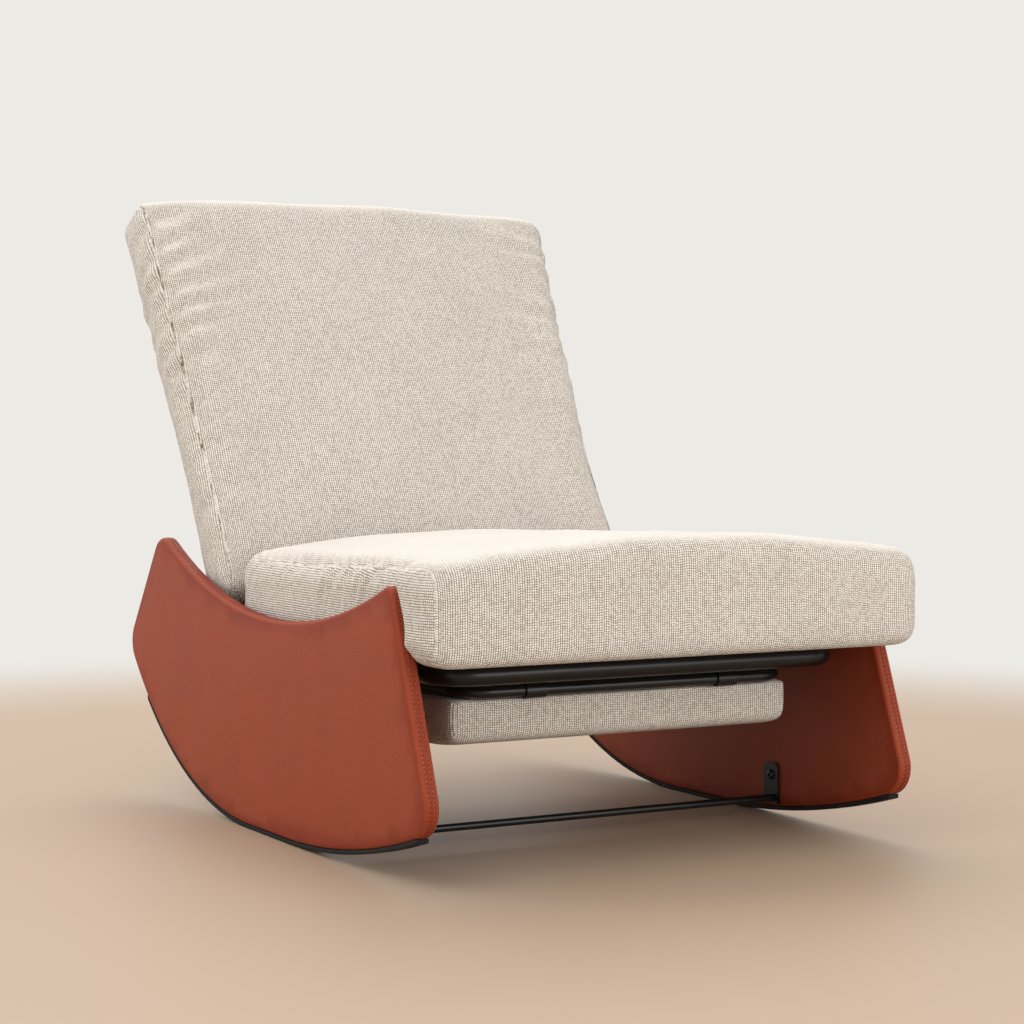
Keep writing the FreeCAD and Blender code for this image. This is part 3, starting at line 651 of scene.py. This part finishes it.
def blow_up(obj, start, held, slack, pressure, ease, cap):
    """Swells a remeshed cushion as cloth. held is how firmly each point keeps its place, and slack is where
    the cover is cut larger than its foam by the share that ease gives, so that it gathers there."""
    cloth = obj.modifiers.new("Filling", "CLOTH")
    cover = cloth.settings
    cover.quality = 6
    cover.mass = 0.3
    cover.tension_stiffness = cover.compression_stiffness = 20.0
    cover.shear_stiffness = 8.0
    cover.bending_stiffness = 0.35
    cover.use_pressure = True
    cover.uniform_pressure_force = pressure
    cover.effector_weights.gravity = 0.0
    cover.vertex_group_mass = hold(obj, "held", held)
    cover.vertex_group_shrink = hold(obj, "slack", slack)
    cover.shrink_min = 0.0
    cover.shrink_max = -ease
    for step in range(1, 21):
        bpy.context.scene.frame_set(step)
    make_active(obj)
    bpy.ops.object.modifier_apply(modifier="Filling")
    bpy.context.scene.frame_set(1)
    move = places_of(obj) - start
    reach = np.linalg.norm(move, axis=1, keepdims=True)
    set_places(obj, start + move * np.minimum(1.0, cap / np.maximum(reach, 1e-9)))
    obj.vertex_groups.clear()
    return np.percentile(reach, (50, 90, 99, 100)).round(4)


# %% Fit, smooth and press
def fit_to(obj, low, high):
    """Stretches a cushion a little so that its box is the one it has to fill."""
    points = places_of(obj)
    was_low, was_high = points.min(0), points.max(0)
    share = (points - was_low) / (was_high - was_low)
    set_places(obj, share * (np.array(high) - np.array(low)) + np.array(low))


def round_off(points, axis, wall_at, outward, edge_at, up, radius, chosen=True):
    """Rounds the corner between a wall that stands across an axis and a top or bottom edge:
    what stands outside a circle in that corner is drawn in to it."""
    out = (points[:, axis] - wall_at) * outward + radius
    over = (points[:, 2] - edge_at) * up + radius
    far = np.hypot(out, over)
    outside = chosen & (out > 0) & (over > 0) & (far > radius)
    pull = np.where(outside, radius / np.maximum(far, 1e-9), 1.0)
    points[:, axis] -= outward * out * (1 - pull)
    points[:, 2] -= up * over * (1 - pull)
    return points


def finer(obj):
    smooth = obj.modifiers.new("Finer", "SUBSURF")
    smooth.levels = smooth.render_levels = 1
    make_active(obj)
    bpy.ops.object.modifier_apply(modifier="Finer")


def normals_of(obj):
    normals = np.empty(len(obj.data.vertices) * 3)
    obj.data.vertex_normals.foreach_get("vector", normals)
    return normals.reshape(-1, 3)


def gathers(from_seam, along, creases, turn=1.0):
    """How far a cover dips and swells beside its seam. A crease starts on the seam, runs off and fades.
    The same creases serve both sides of a seam, so that each one crosses it; turn gives the slope's sense."""
    rise = np.zeros(len(along))
    for start_at, slope, length, depth, width in creases:
        off = (along - start_at - turn * slope * from_seam) / (width * (1.0 + 4.0 * from_seam))
        fade = (0.3 + 0.7 * np.clip(from_seam / 0.016, 0.0, 1.0)) * np.exp(-(from_seam / length) ** 2)
        rise += depth * fade * (0.5 * np.exp(-(np.abs(off) - 1.9) ** 2) - np.exp(-off ** 2))
    return rise


def creases_between(seed, first, last, gap, slopes, lengths, depths, widths):
    """Creases at uneven steps from first to last. The seed makes them the same in every run."""
    dice = np.random.default_rng(seed)
    starts = np.arange(first, last, gap)
    return [(at + dice.uniform(-0.4, 0.4) * gap, dice.uniform(*slopes), dice.uniform(*lengths),
             dice.uniform(*depths), dice.uniform(*widths)) for at in starts]


def sink_along(from_line, depth, width):
    """A soft dip that follows a seam, wider than the sewn line itself."""
    return -depth * np.exp(-(from_line / width) ** 2)


def press_seam(obj, plane_point, plane_normal, area, width=0.0014, depth=0.0012):
    """Cuts three lines side by side where a plane meets the cushion, inside an area,
    and presses the middle one in."""
    at, way = Vector(plane_point), Vector(plane_normal).normalized()
    make_active(obj)
    bpy.ops.object.mode_set(mode="EDIT")
    for shift in (-width, width, 0.0):
        choose(obj, "FACE", lambda f: area(middle_of(f)) and abs((middle_of(f) - at).dot(way)) < 0.012)
        bpy.ops.mesh.bisect(plane_co=at + way * shift, plane_no=way)
    choose(obj, "VERT", lambda v: abs((v.co - at).dot(way)) < 0.00002 and area(v.co))
    bpy.ops.transform.shrink_fatten(value=-depth)
    bpy.ops.object.mode_set(mode="OBJECT")


def unroll(gap, depth, reach, least):
    """Measures how a cover turns towards an edge: its length against the distance from the edge."""
    steps = np.linspace(reach, least, 25)
    level = [depth[np.abs(gap - step) < 0.004].mean() for step in steps]
    length = np.concatenate([[0.0], np.hypot(np.diff(steps), np.diff(level)).cumsum()])
    return reach, reach - steps, length


def along_cover(half, gap, table):
    """Length across a cover from its middle. gap is the distance from the edge, and half is its place."""
    reach, steps, length = table
    return half - np.maximum(gap, reach) + np.interp(reach - gap, steps, length)


def lay_cloth(obj, way):
    """Writes the weave's own map: way gives two lengths in metres for every corner's place."""
    uv = obj.data.uv_layers.new(name="cloth_way")
    loops = np.empty(len(obj.data.loops), dtype=np.int32)
    obj.data.loops.foreach_get("vertex_index", loops)
    counts = np.empty(len(obj.data.polygons), dtype=np.int32)
    obj.data.polygons.foreach_get("loop_total", counts)
    centres = np.empty(len(obj.data.polygons) * 3)
    obj.data.polygons.foreach_get("center", centres)
    face_of = np.repeat(np.arange(len(counts)), counts)
    flat = way(places_of(obj)[loops], centres.reshape(-1, 3)[face_of])
    uv.data.foreach_set("uv", flat.astype(np.float32).ravel())


# %% [markdown]
# ### Seat cushion
# The seat's cover runs over the top and down the front in one panel, and the sides are panels of their own.

# %% Seat cushion
low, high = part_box("seat_cushion")
seat = copy_of("seat_cushion", "seat_cushion_cover")
start = remeshed(seat, 0.0078, 0.004)
MAIN_HALF = INNER_X - 0.003
EAR_REAR = low.y + 0.110
half_at = np.where(start[:, 1] < EAR_REAR, high.x, MAIN_HALF)
from_seam = np.abs(np.abs(start[:, 0]) - (half_at - 0.012))
slack = np.exp(-(from_seam / 0.035) ** 2) * (start[:, 2] > low.z + 0.03)
held = np.clip(from_seam / 0.08, 0.0, 1.0) * 0.4
held = np.maximum(held, np.clip((low.z + 0.022 - start[:, 2]) / 0.010, 0.0, 1.0))
print("seat swells by", blow_up(seat, start, held, slack, 1.2, 0.05, 0.012))


# %% Keep the seat clear of the boards
BOARD_FOOT_Y, BOARD_FOOT_Z = DRAWN_ZERO_Y - 0.431, 0.0790
BOARD_FRONT_RISE, BOARD_FRONT_RUN = 0.2950, 0.1080
BOARD_CLEARANCE = 0.0015


def front_edge_y(z):
    """Where the front edge of the boards stands at a height."""
    return BOARD_FOOT_Y + (z - BOARD_FOOT_Z) / BOARD_FRONT_RISE * BOARD_FRONT_RUN


def between_boards(x):
    return np.clip(x, BOARD_CLEARANCE - INNER_X, INNER_X - BOARD_CLEARANCE)


def clear_of_boards(points, start):
    between = np.abs(start[:, 0]) < MAIN_HALF
    points[between, 0] = between_boards(points[between, 0])
    ears = ~between
    points[ears, 1] = np.minimum(points[ears, 1], front_edge_y(points[ears, 2]) - 0.002)
    return points


# %% Round the seat's edges
SEAT_CROWN, SEAT_FALL = 0.024, 0.020


def seat_top(x, y):
    """Height of the seat's top: crowned across, and a little lower at the rear."""
    return high.z - SEAT_CROWN * (x / high.x) ** 2 - SEAT_FALL * (y - low.y) / (high.y - low.y)


fit_to(seat, low, high)
points = clear_of_boards(places_of(seat), start)
in_ears = start[:, 1] < EAR_REAR
for hand in (-1.0, 1.0):
    for side_at, radius, chosen in ((high.x, 0.048, in_ears), (MAIN_HALF, 0.034, ~in_ears)):
        top_at = seat_top(side_at - radius, points[:, 1])
        points = round_off(points, 0, hand * side_at, hand, top_at, 1.0, radius, chosen)
    points = round_off(points, 0, hand * high.x, hand, low.z, -1.0, 0.044, in_ears)
points = round_off(points, 1, low.y, -1.0, low.z, -1.0, 0.024, in_ears)
points = round_off(points, 1, high.y, 1.0, seat_top(points[:, 0], high.y), 1.0, 0.034)
set_places(seat, points)
finer(seat)

# %% Seams of the seat
SEAM_IN = 0.010  # how far in from a cushion's side its seam runs
for hand in (-1.0, 1.0):
    press_seam(seat, (hand * (high.x - SEAM_IN), 0.0, 0.0), (1.0, 0.0, 0.0),
               lambda c: c.y < EAR_REAR and c.x * hand > 0, depth=0.0004)
    press_seam(seat, (hand * (MAIN_HALF - SEAM_IN), 0.0, 0.0), (1.0, 0.0, 0.0),
               lambda c: c.y > EAR_REAR + 0.01 and c.x * hand > 0, depth=0.0010)
print("seat seams run at", round(MAIN_HALF - SEAM_IN, 4), "and", round(high.x - SEAM_IN, 4))


# %% Lay the weave over the seat
def over_front(points, front, top, bend):
    """Length along a cover that runs down the front, round the bend and back along the top."""
    turn_y, turn_z = front + bend, top - bend
    angle = np.arctan2(points[:, 2] - turn_z, turn_y - points[:, 1])
    down = points[:, 2] - turn_z
    back = points[:, 1] - turn_y + bend * math.pi / 2
    return np.where(points[:, 1] >= turn_y, back, np.where(points[:, 2] > turn_z, bend * angle, down))


def over_edges(points, front, rear, front_top, rear_top, bend):
    """The same length, where the cover also turns down at the rear."""
    whole = rear - front - 2 * bend + bend * math.pi
    from_rear = over_front(points * np.array([1.0, -1.0, 1.0]), -rear, rear_top, bend)
    from_front = over_front(points, front, front_top, bend)
    return np.where(points[:, 1] < (front + rear) / 2, from_front, whole - from_rear)


points, normals = places_of(seat), normals_of(seat)
on_top = (normals[:, 2] > 0.2) & (points[:, 0] > 0) & (points[:, 1] > EAR_REAR)
seat_turn = unroll(MAIN_HALF - points[on_top, 0], points[on_top, 2], 0.080, 0.012)


def seat_way(points, centres):
    tops = seat_top(points[:, 0], low.y), seat_top(points[:, 0], high.y)
    half = np.where(centres[:, 1] < EAR_REAR, high.x, MAIN_HALF)
    sides = np.abs(centres[:, 0]) > half - SEAM_IN
    across = np.sign(points[:, 0]) * along_cover(half, half - np.abs(points[:, 0]), seat_turn)
    wrap = np.stack([across, over_edges(points, low.y, high.y, *tops, 0.036)], axis=1)
    panel = np.stack([points[:, 2], points[:, 1]], axis=1)
    return np.where(sides[:, None], panel, wrap)


lay_cloth(seat, seat_way)

# %% Gathers on the seat's sides
points, normals = places_of(seat), normals_of(seat)
in_ears = points[:, 1] < EAR_REAR
side_at = np.where(in_ears, high.x, MAIN_HALF)
inward = side_at - SEAM_IN - np.abs(points[:, 0])
below = np.maximum(seat_top(points[:, 0], points[:, 1]) - SEAM_IN - points[:, 2], 0.0)
rise = sink_along(np.abs(inward), 0.0010, 0.0080)
side_part = np.clip(-inward / 0.004, 0.0, 1.0)
for hand, seed in ((-1.0, 11), (1.0, 12)):
    here = points[:, 0] * hand > 0
    folds = creases_between(seed, EAR_REAR + 0.012, 0.10, 0.030, (0.25, 0.60), (0.040, 0.075),
                            (0.0010, 0.0024), (0.0060, 0.0085))
    folds += creases_between(seed + 5, EAR_REAR + 0.095, EAR_REAR + 0.27, 0.026, (0.20, 0.45), (0.055, 0.085),
                             (0.0028, 0.0044), (0.0058, 0.0076))
    on_side = side_part * gathers(below, points[:, 1], folds)
    on_top = (1.0 - side_part) * gathers(np.maximum(inward, 0.0) * 2.5, points[:, 1], folds)
    rise += np.where(here & ~in_ears, on_side + on_top, 0.0)
    ticks = creases_between(seed + 10, low.y + 0.03, EAR_REAR, 0.015, (-0.1, 0.1), (0.018, 0.030),
                            (0.0008, 0.0018), (0.0045, 0.0055))
    rise += np.where(here & in_ears, side_part * gathers(below, points[:, 1], ticks), 0.0)
rise += 0.0011 * np.sin(points[:, 0] * 31.0 + 0.7) * np.sin(points[:, 1] * 27.0 + 0.4) * (normals[:, 2] > 0.3)
set_places(seat, points + normals * rise[:, None])
print("seat gathers from", rise.min().round(4), "to", rise.max().round(4))

# %% Seat cushion finished
make_active(seat)
bpy.ops.object.shade_smooth()
seat.data.materials.append(ivory)
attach(seat, "base")
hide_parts("seat_cushion")
print("seat faces", len(seat.data.polygons))

# %% [markdown]
# ### Back cushion
# The back leans, so it is stood upright while it is modelled: its depth then runs along Y and its height
# along Z. Its cover also runs over the top in one panel, with a side panel on each flank.
# The seam between them gathers.

# %% Back cushion
FOOT = Vector((0.0, DRAWN_ZERO_Y + 0.254838, 0.32468))
LEAN_DEGREES = 28.7
LEAN = Matrix.Translation(FOOT) @ Matrix.Rotation(math.radians(-LEAN_DEGREES), 4, "X")
THICK, TALL, FLARE_FROM = 0.090, 0.703, 0.215
LOW_HALF = INNER_X - 0.004
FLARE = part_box("back_cushion")[1].x - LOW_HALF
back = copy_of("back_cushion", "back_cushion_cover")
back.data.transform(LEAN.inverted())
points = places_of(back)
back_low, back_high = points.min(0), points.max(0)
start = remeshed(back, 0.0075, 0.004)


def back_half(height):
    """Half the back's width at a height: it widens above the boards."""
    return LOW_HALF + FLARE * np.clip((height - FLARE_FROM) / (TALL - FLARE_FROM), 0.0, 1.0)


from_seam = np.abs(np.abs(start[:, 0]) - (back_half(start[:, 2]) - 0.012))
slack = np.exp(-(from_seam / 0.060) ** 2) * np.clip((start[:, 2] - 0.15) / 0.2, 0.0, 1.0)
held = np.clip((from_seam - 0.02) / 0.12, 0.0, 1.0) * 0.4
held = np.maximum(held, np.clip((start[:, 1] - (THICK - 0.020)) / 0.010, 0.0, 1.0))
print("back swells by", blow_up(back, start, held, slack, 1.2, 0.09, 0.014))
fit_to(back, back_low, back_high)
points = places_of(back)
print("back box upright", points.min(0).round(4), points.max(0).round(4))
low_part = points[:, 2] < 0.19
points[low_part, 0] = between_boards(points[low_part, 0])
points = round_off(points, 1, THICK, 1.0, TALL, 1.0, 0.050)
points = round_off(points, 1, -0.012, -1.0, TALL, 1.0, 0.026)
for hand in (-1.0, 1.0):
    points = round_off(points, 0, hand * back_half(TALL), hand, TALL, 1.0, 0.032)
BACK_CROWN, CROWN_FROM = 0.006, 0.40
high_up = np.clip((points[:, 2] - CROWN_FROM) / (TALL - CROWN_FROM), 0.0, 1.0)
points[:, 2] -= BACK_CROWN * (points[:, 0] / back_half(TALL)) ** 2 * high_up ** 2
set_places(back, points)
finer(back)

# %% Seams of the back
for hand in (-1.0, 1.0):
    tilt = FLARE / (TALL - FLARE_FROM)
    upper = (hand * (LOW_HALF - SEAM_IN), 0.0, FLARE_FROM)
    press_seam(back, upper, (hand, 0.0, -tilt), lambda c: c.z > FLARE_FROM and c.x * hand > 0 and c.y < 0.045)
    press_seam(back, upper, (1.0, 0.0, 0.0), lambda c: c.z < FLARE_FROM and c.x * hand > 0)
print("back seams lean out by", round(tilt, 4))

# %% Lay the weave over the back
points, normals = places_of(back), normals_of(back)
on_front = (normals[:, 1] < -0.1) & (points[:, 0] > 0) & (points[:, 2] > 0.1) & (points[:, 2] < 0.6)
back_turn = unroll((back_half(points[:, 2]) - points[:, 0])[on_front], points[on_front, 1], 0.080, 0.012)


def back_way(points, centres):
    half = back_half(points[:, 2])
    sides = np.abs(centres[:, 0]) > back_half(centres[:, 2]) - SEAM_IN
    across = np.sign(points[:, 0]) * along_cover(half, half - np.abs(points[:, 0]), back_turn)
    bend = 0.032
    turn_y, turn_z = bend + back_low[1], TALL - bend
    angle = np.arctan2(points[:, 2] - turn_z, turn_y - points[:, 1])
    over = np.where(points[:, 1] >= turn_y, bend * math.pi / 2 + points[:, 1] - turn_y, bend * angle)
    up = np.where(points[:, 2] > turn_z, turn_z + over, points[:, 2])
    wrap = np.stack([across, up], axis=1)
    panel = np.stack([points[:, 1], points[:, 2]], axis=1)
    return np.where(sides[:, None], panel, wrap)


lay_cloth(back, back_way)

# %% Gathers on the back
points, normals = places_of(back), normals_of(back)
inward = back_half(points[:, 2]) - SEAM_IN - np.abs(points[:, 0])
behind = np.maximum(points[:, 1] - back_low[1] - 0.016, 0.0)
rise = sink_along(np.abs(inward), 0.0012, 0.008) * (points[:, 1] < THICK - 0.02)
side_part = np.clip(-inward / 0.004, 0.0, 1.0)
front_part = (1.0 - side_part) * np.clip((0.3 - normals[:, 1]) / 0.2, 0.0, 1.0)
for hand, seed, depth in ((-1.0, 21, 1.0), (1.0, 22, 0.6)):
    here = points[:, 0] * hand > 0
    folds = creases_between(seed, 0.10, 0.40, 0.046, (0.15, 0.45), (0.045, 0.075),
                            (0.0008, 0.0018), (0.0085, 0.0120))
    folds += creases_between(seed + 5, 0.40, 0.66, 0.041, (0.15, 0.50), (0.050, 0.120),
                             (0.0020, 0.0044), (0.0080, 0.0115))
    across = front_part * gathers(np.maximum(inward, 0.0), points[:, 2], folds)
    around = 1.25 * side_part * gathers(behind, points[:, 2], folds, turn=-1.6)
    rise += np.where(here, depth * (across + around), 0.0)
on_front = normals[:, 1] < -0.3
rise += 0.0014 * np.sin(points[:, 0] * 23.0 + 0.3) * np.sin(points[:, 2] * 19.0 + 0.9) * on_front
set_places(back, points + normals * rise[:, None])
print("back gathers from", rise.min().round(4), "to", rise.max().round(4))

# %% Back cushion finished
back.data.transform(LEAN)
make_active(back)
bpy.ops.object.shade_smooth()
back.data.materials.append(ivory)
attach(back, "back")
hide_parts("back_cushion")
print("back faces", len(back.data.polygons))

# %% [markdown]
# ### Leg rest pad
# A thin flat cushion under its board. It is made as the others are, and swells less.

# %% Leg rest pad
pad_low, pad_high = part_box("pad_cushion")
rest_pad = copy_of("pad_cushion", "leg_rest_pad_cover")
start = remeshed(rest_pad, 0.005, 0.004)
held = np.clip((start[:, 2] - (pad_high.z - 0.016)) / 0.006, 0.2, 1.0)
from_seam = np.abs(start[:, 0]) - (pad_high.x - 0.010)
slack = np.exp(-(from_seam / 0.02) ** 2) * (start[:, 2] < pad_high.z - 0.02)
print("pad swells by", blow_up(rest_pad, start, held, slack, 1.2, 0.04, 0.008))
fit_to(rest_pad, pad_low, pad_high)
finer(rest_pad)
PAD_SEAM_X = pad_high.x - 0.009
for hand in (-1.0, 1.0):
    press_seam(rest_pad, (hand * PAD_SEAM_X, 0.0, 0.0), (1.0, 0.0, 0.0), lambda c: c.x * hand > 0,
               width=0.0012, depth=0.0014)


# %% Lay the weave round the pad
def pad_way(points, centres):
    ends = np.abs(centres[:, 0]) > PAD_SEAM_X
    flipped = points * np.array([1.0, 1.0, -1.0])
    round_pad = over_edges(flipped, pad_low.y, pad_high.y, -pad_low.z, -pad_low.z, 0.020)
    wrap = np.stack([points[:, 0], round_pad], axis=1)
    panel = np.stack([points[:, 1], points[:, 2]], axis=1)
    return np.where(ends[:, None], panel, wrap)


lay_cloth(rest_pad, pad_way)
make_active(rest_pad)
bpy.ops.object.shade_smooth()
rest_pad.data.materials.append(ivory)
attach(rest_pad, "leg_rest_pad")
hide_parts("pad_cushion")
print("pad faces", len(rest_pad.data.polygons))


# %% [markdown]
# ## Straps
# Elastic straps carry both cushions. A strap is a flat band that wraps half round a tube at each end,
# so a plane is pulled to length, its two end edges are spun round the tubes, and Solidify thickens it.

# %% One strap, lying flat between two tubes
STRAP_THICK = 0.0023


def strap(name, span, radius, width):
    bpy.ops.object.select_all(action="DESELECT")
    bpy.ops.mesh.primitive_plane_add(size=1.0, location=(0.0, 0.0, 0.0))
    band = bpy.context.object
    band.name = name
    bpy.ops.object.mode_set(mode="EDIT")
    bpy.ops.mesh.select_all(action="SELECT")
    bpy.ops.transform.resize(value=(2 * span, width, 1.0), center_override=(0.0, 0.0, 0.0))
    bpy.ops.transform.translate(value=(0.0, 0.0, radius))
    for end in (1.0, -1.0):
        choose(band, "EDGE",
               lambda e: abs(middle_of(e).x - end * span) < 0.0001 and e.verts[0].co.z > radius * 0.99)
        bpy.ops.mesh.spin(steps=10, angle=end * math.pi, center=(end * span, 0.0, 0.0), axis=(0.0, 1.0, 0.0))
    bpy.ops.mesh.select_all(action="SELECT")
    bpy.ops.mesh.remove_doubles(threshold=0.00001)
    bpy.ops.mesh.normals_make_consistent(inside=False)
    bpy.ops.object.mode_set(mode="OBJECT")
    thick = band.modifiers.new("Thickness", "SOLIDIFY")
    thick.thickness = STRAP_THICK
    thick.offset = 1.0
    soft = band.modifiers.new("Soft", "BEVEL")
    soft.width = 0.0006
    soft.segments = 2
    make_active(band)
    bpy.ops.object.modifier_apply(modifier="Thickness")
    bpy.ops.object.modifier_apply(modifier="Soft")
    bpy.ops.object.shade_smooth_by_angle(angle=math.radians(35.0))
    band.data.materials.append(webbing)
    return band


def finish_strap(band, body, node):
    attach(band, body)
    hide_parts(node)


# %% Six straps under the seat
SEAT_TUBE, SEAT_STRAP = 0.014, 0.045  # the tube's radius and the strap's width
SEAT_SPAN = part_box("right_seat_rail")[1].x - SEAT_TUBE
SEAT_RAIL_Z, FIRST_SEAT_STRAP_Y, SEAT_STRAP_STEP = 0.255, DRAWN_ZERO_Y - 0.240, 0.090
for i in range(6):
    band = strap("seat_strap_" + str(i + 1), SEAT_SPAN, SEAT_TUBE, SEAT_STRAP)
    band.data.transform(Matrix.Translation((0.0, FIRST_SEAT_STRAP_Y + SEAT_STRAP_STEP * i, SEAT_RAIL_Z)))
    finish_strap(band, "base", "seat_webbing")
print("seat straps span", round(2 * SEAT_SPAN, 4))

# %% Six straps behind the back
BACK_TUBE, BACK_STRAP = 0.011, 0.050
BACK_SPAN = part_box("right_back_upright")[1].x - BACK_TUBE
UPRIGHT_Y, FIRST_BACK_STRAP_Z, BACK_STRAP_STEP = 0.1038, 0.070, 0.085
STAND_UP = Matrix.Rotation(math.radians(90.0), 4, "X")
for i in range(6):
    band = strap("back_strap_" + str(i + 1), BACK_SPAN, BACK_TUBE, BACK_STRAP)
    height = FIRST_BACK_STRAP_Z + BACK_STRAP_STEP * i
    band.data.transform(LEAN @ (Matrix.Translation((0.0, UPRIGHT_Y, height)) @ STAND_UP))
    finish_strap(band, "back", "back_webbing")

# %% [markdown]
# ## Bolts
# Round-headed socket bolts hold the plates to the boards. One head is a cylinder with a wide bevel,
# a six-sided prism is cut out of it for the key, and copies of it go where the CAD has its bolts.

# %% One bolt
bpy.ops.object.select_all(action="DESELECT")
bpy.ops.mesh.primitive_cylinder_add(vertices=32, radius=0.007, depth=0.004, location=(-0.002, 0.0, 0.0),
                                    rotation=(0.0, math.radians(90.0), 0.0))
bolt = bpy.context.object
bpy.ops.object.transform_apply(location=True, rotation=True, scale=True)
bpy.ops.object.mode_set(mode="EDIT")
choose(bolt, "EDGE", lambda e: all(v.co.x < -0.0039 for v in e.verts))
bpy.ops.mesh.bevel(offset=0.0028, segments=5)
choose(bolt, "FACE", lambda f: f.normal.x > 0.99)
bpy.ops.mesh.inset(thickness=0.003)
bpy.ops.mesh.extrude_region_move(TRANSFORM_OT_translate={"value": (0.022, 0.0, 0.0)})
bpy.ops.object.mode_set(mode="OBJECT")
bpy.ops.mesh.primitive_cylinder_add(vertices=6, radius=0.0026, depth=0.005, location=(-0.0042, 0.0, 0.0),
                                    rotation=(0.0, math.radians(90.0), 0.0))
key = bpy.context.object
cut = bolt.modifiers.new("Socket", "BOOLEAN")
cut.object = key
cut.operation = "DIFFERENCE"
make_active(bolt)
bpy.ops.object.modifier_apply(modifier="Socket")
bpy.data.objects.remove(key)
bpy.ops.object.shade_smooth_by_angle(angle=math.radians(30.0))
bolt.data.materials.append(blacked_steel)
print("bolt faces", len(bolt.data.polygons))


# %% Bolts in their places
def bolts_at(name, node, places):
    copies = []
    for hand in (1.0, -1.0):
        for y, z in places:
            one = bolt.copy()
            one.data = bolt.data.copy()
            bpy.context.scene.collection.objects.link(one)
            turn = Matrix.Identity(4) if hand > 0 else Matrix.Rotation(math.pi, 4, "Z")
            one.data.transform(Matrix.Translation((hand * (INNER_X - 0.004), y, z)) @ turn)
            copies.append(one)
    make_active(copies[0])
    for one in copies:
        one.select_set(True)
    bpy.ops.object.join()
    copies[0].name = name
    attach(copies[0], "base")
    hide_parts(node)


STRETCHER_BOLT = (DRAWN_ZERO_Y - 0.126, 0.060)
SEAT_BOLT_Z, SEAT_BOLT_YS = 0.247, (-0.215, -0.175, 0.145, 0.185)
bolts_at("stretcher_button_bolts", "stretcher_bolts", [STRETCHER_BOLT])
bolts_at("seat_button_bolts", "seat_bracket_bolts", [(DRAWN_ZERO_Y + y, SEAT_BOLT_Z) for y in SEAT_BOLT_YS])
bpy.data.objects.remove(bolt)
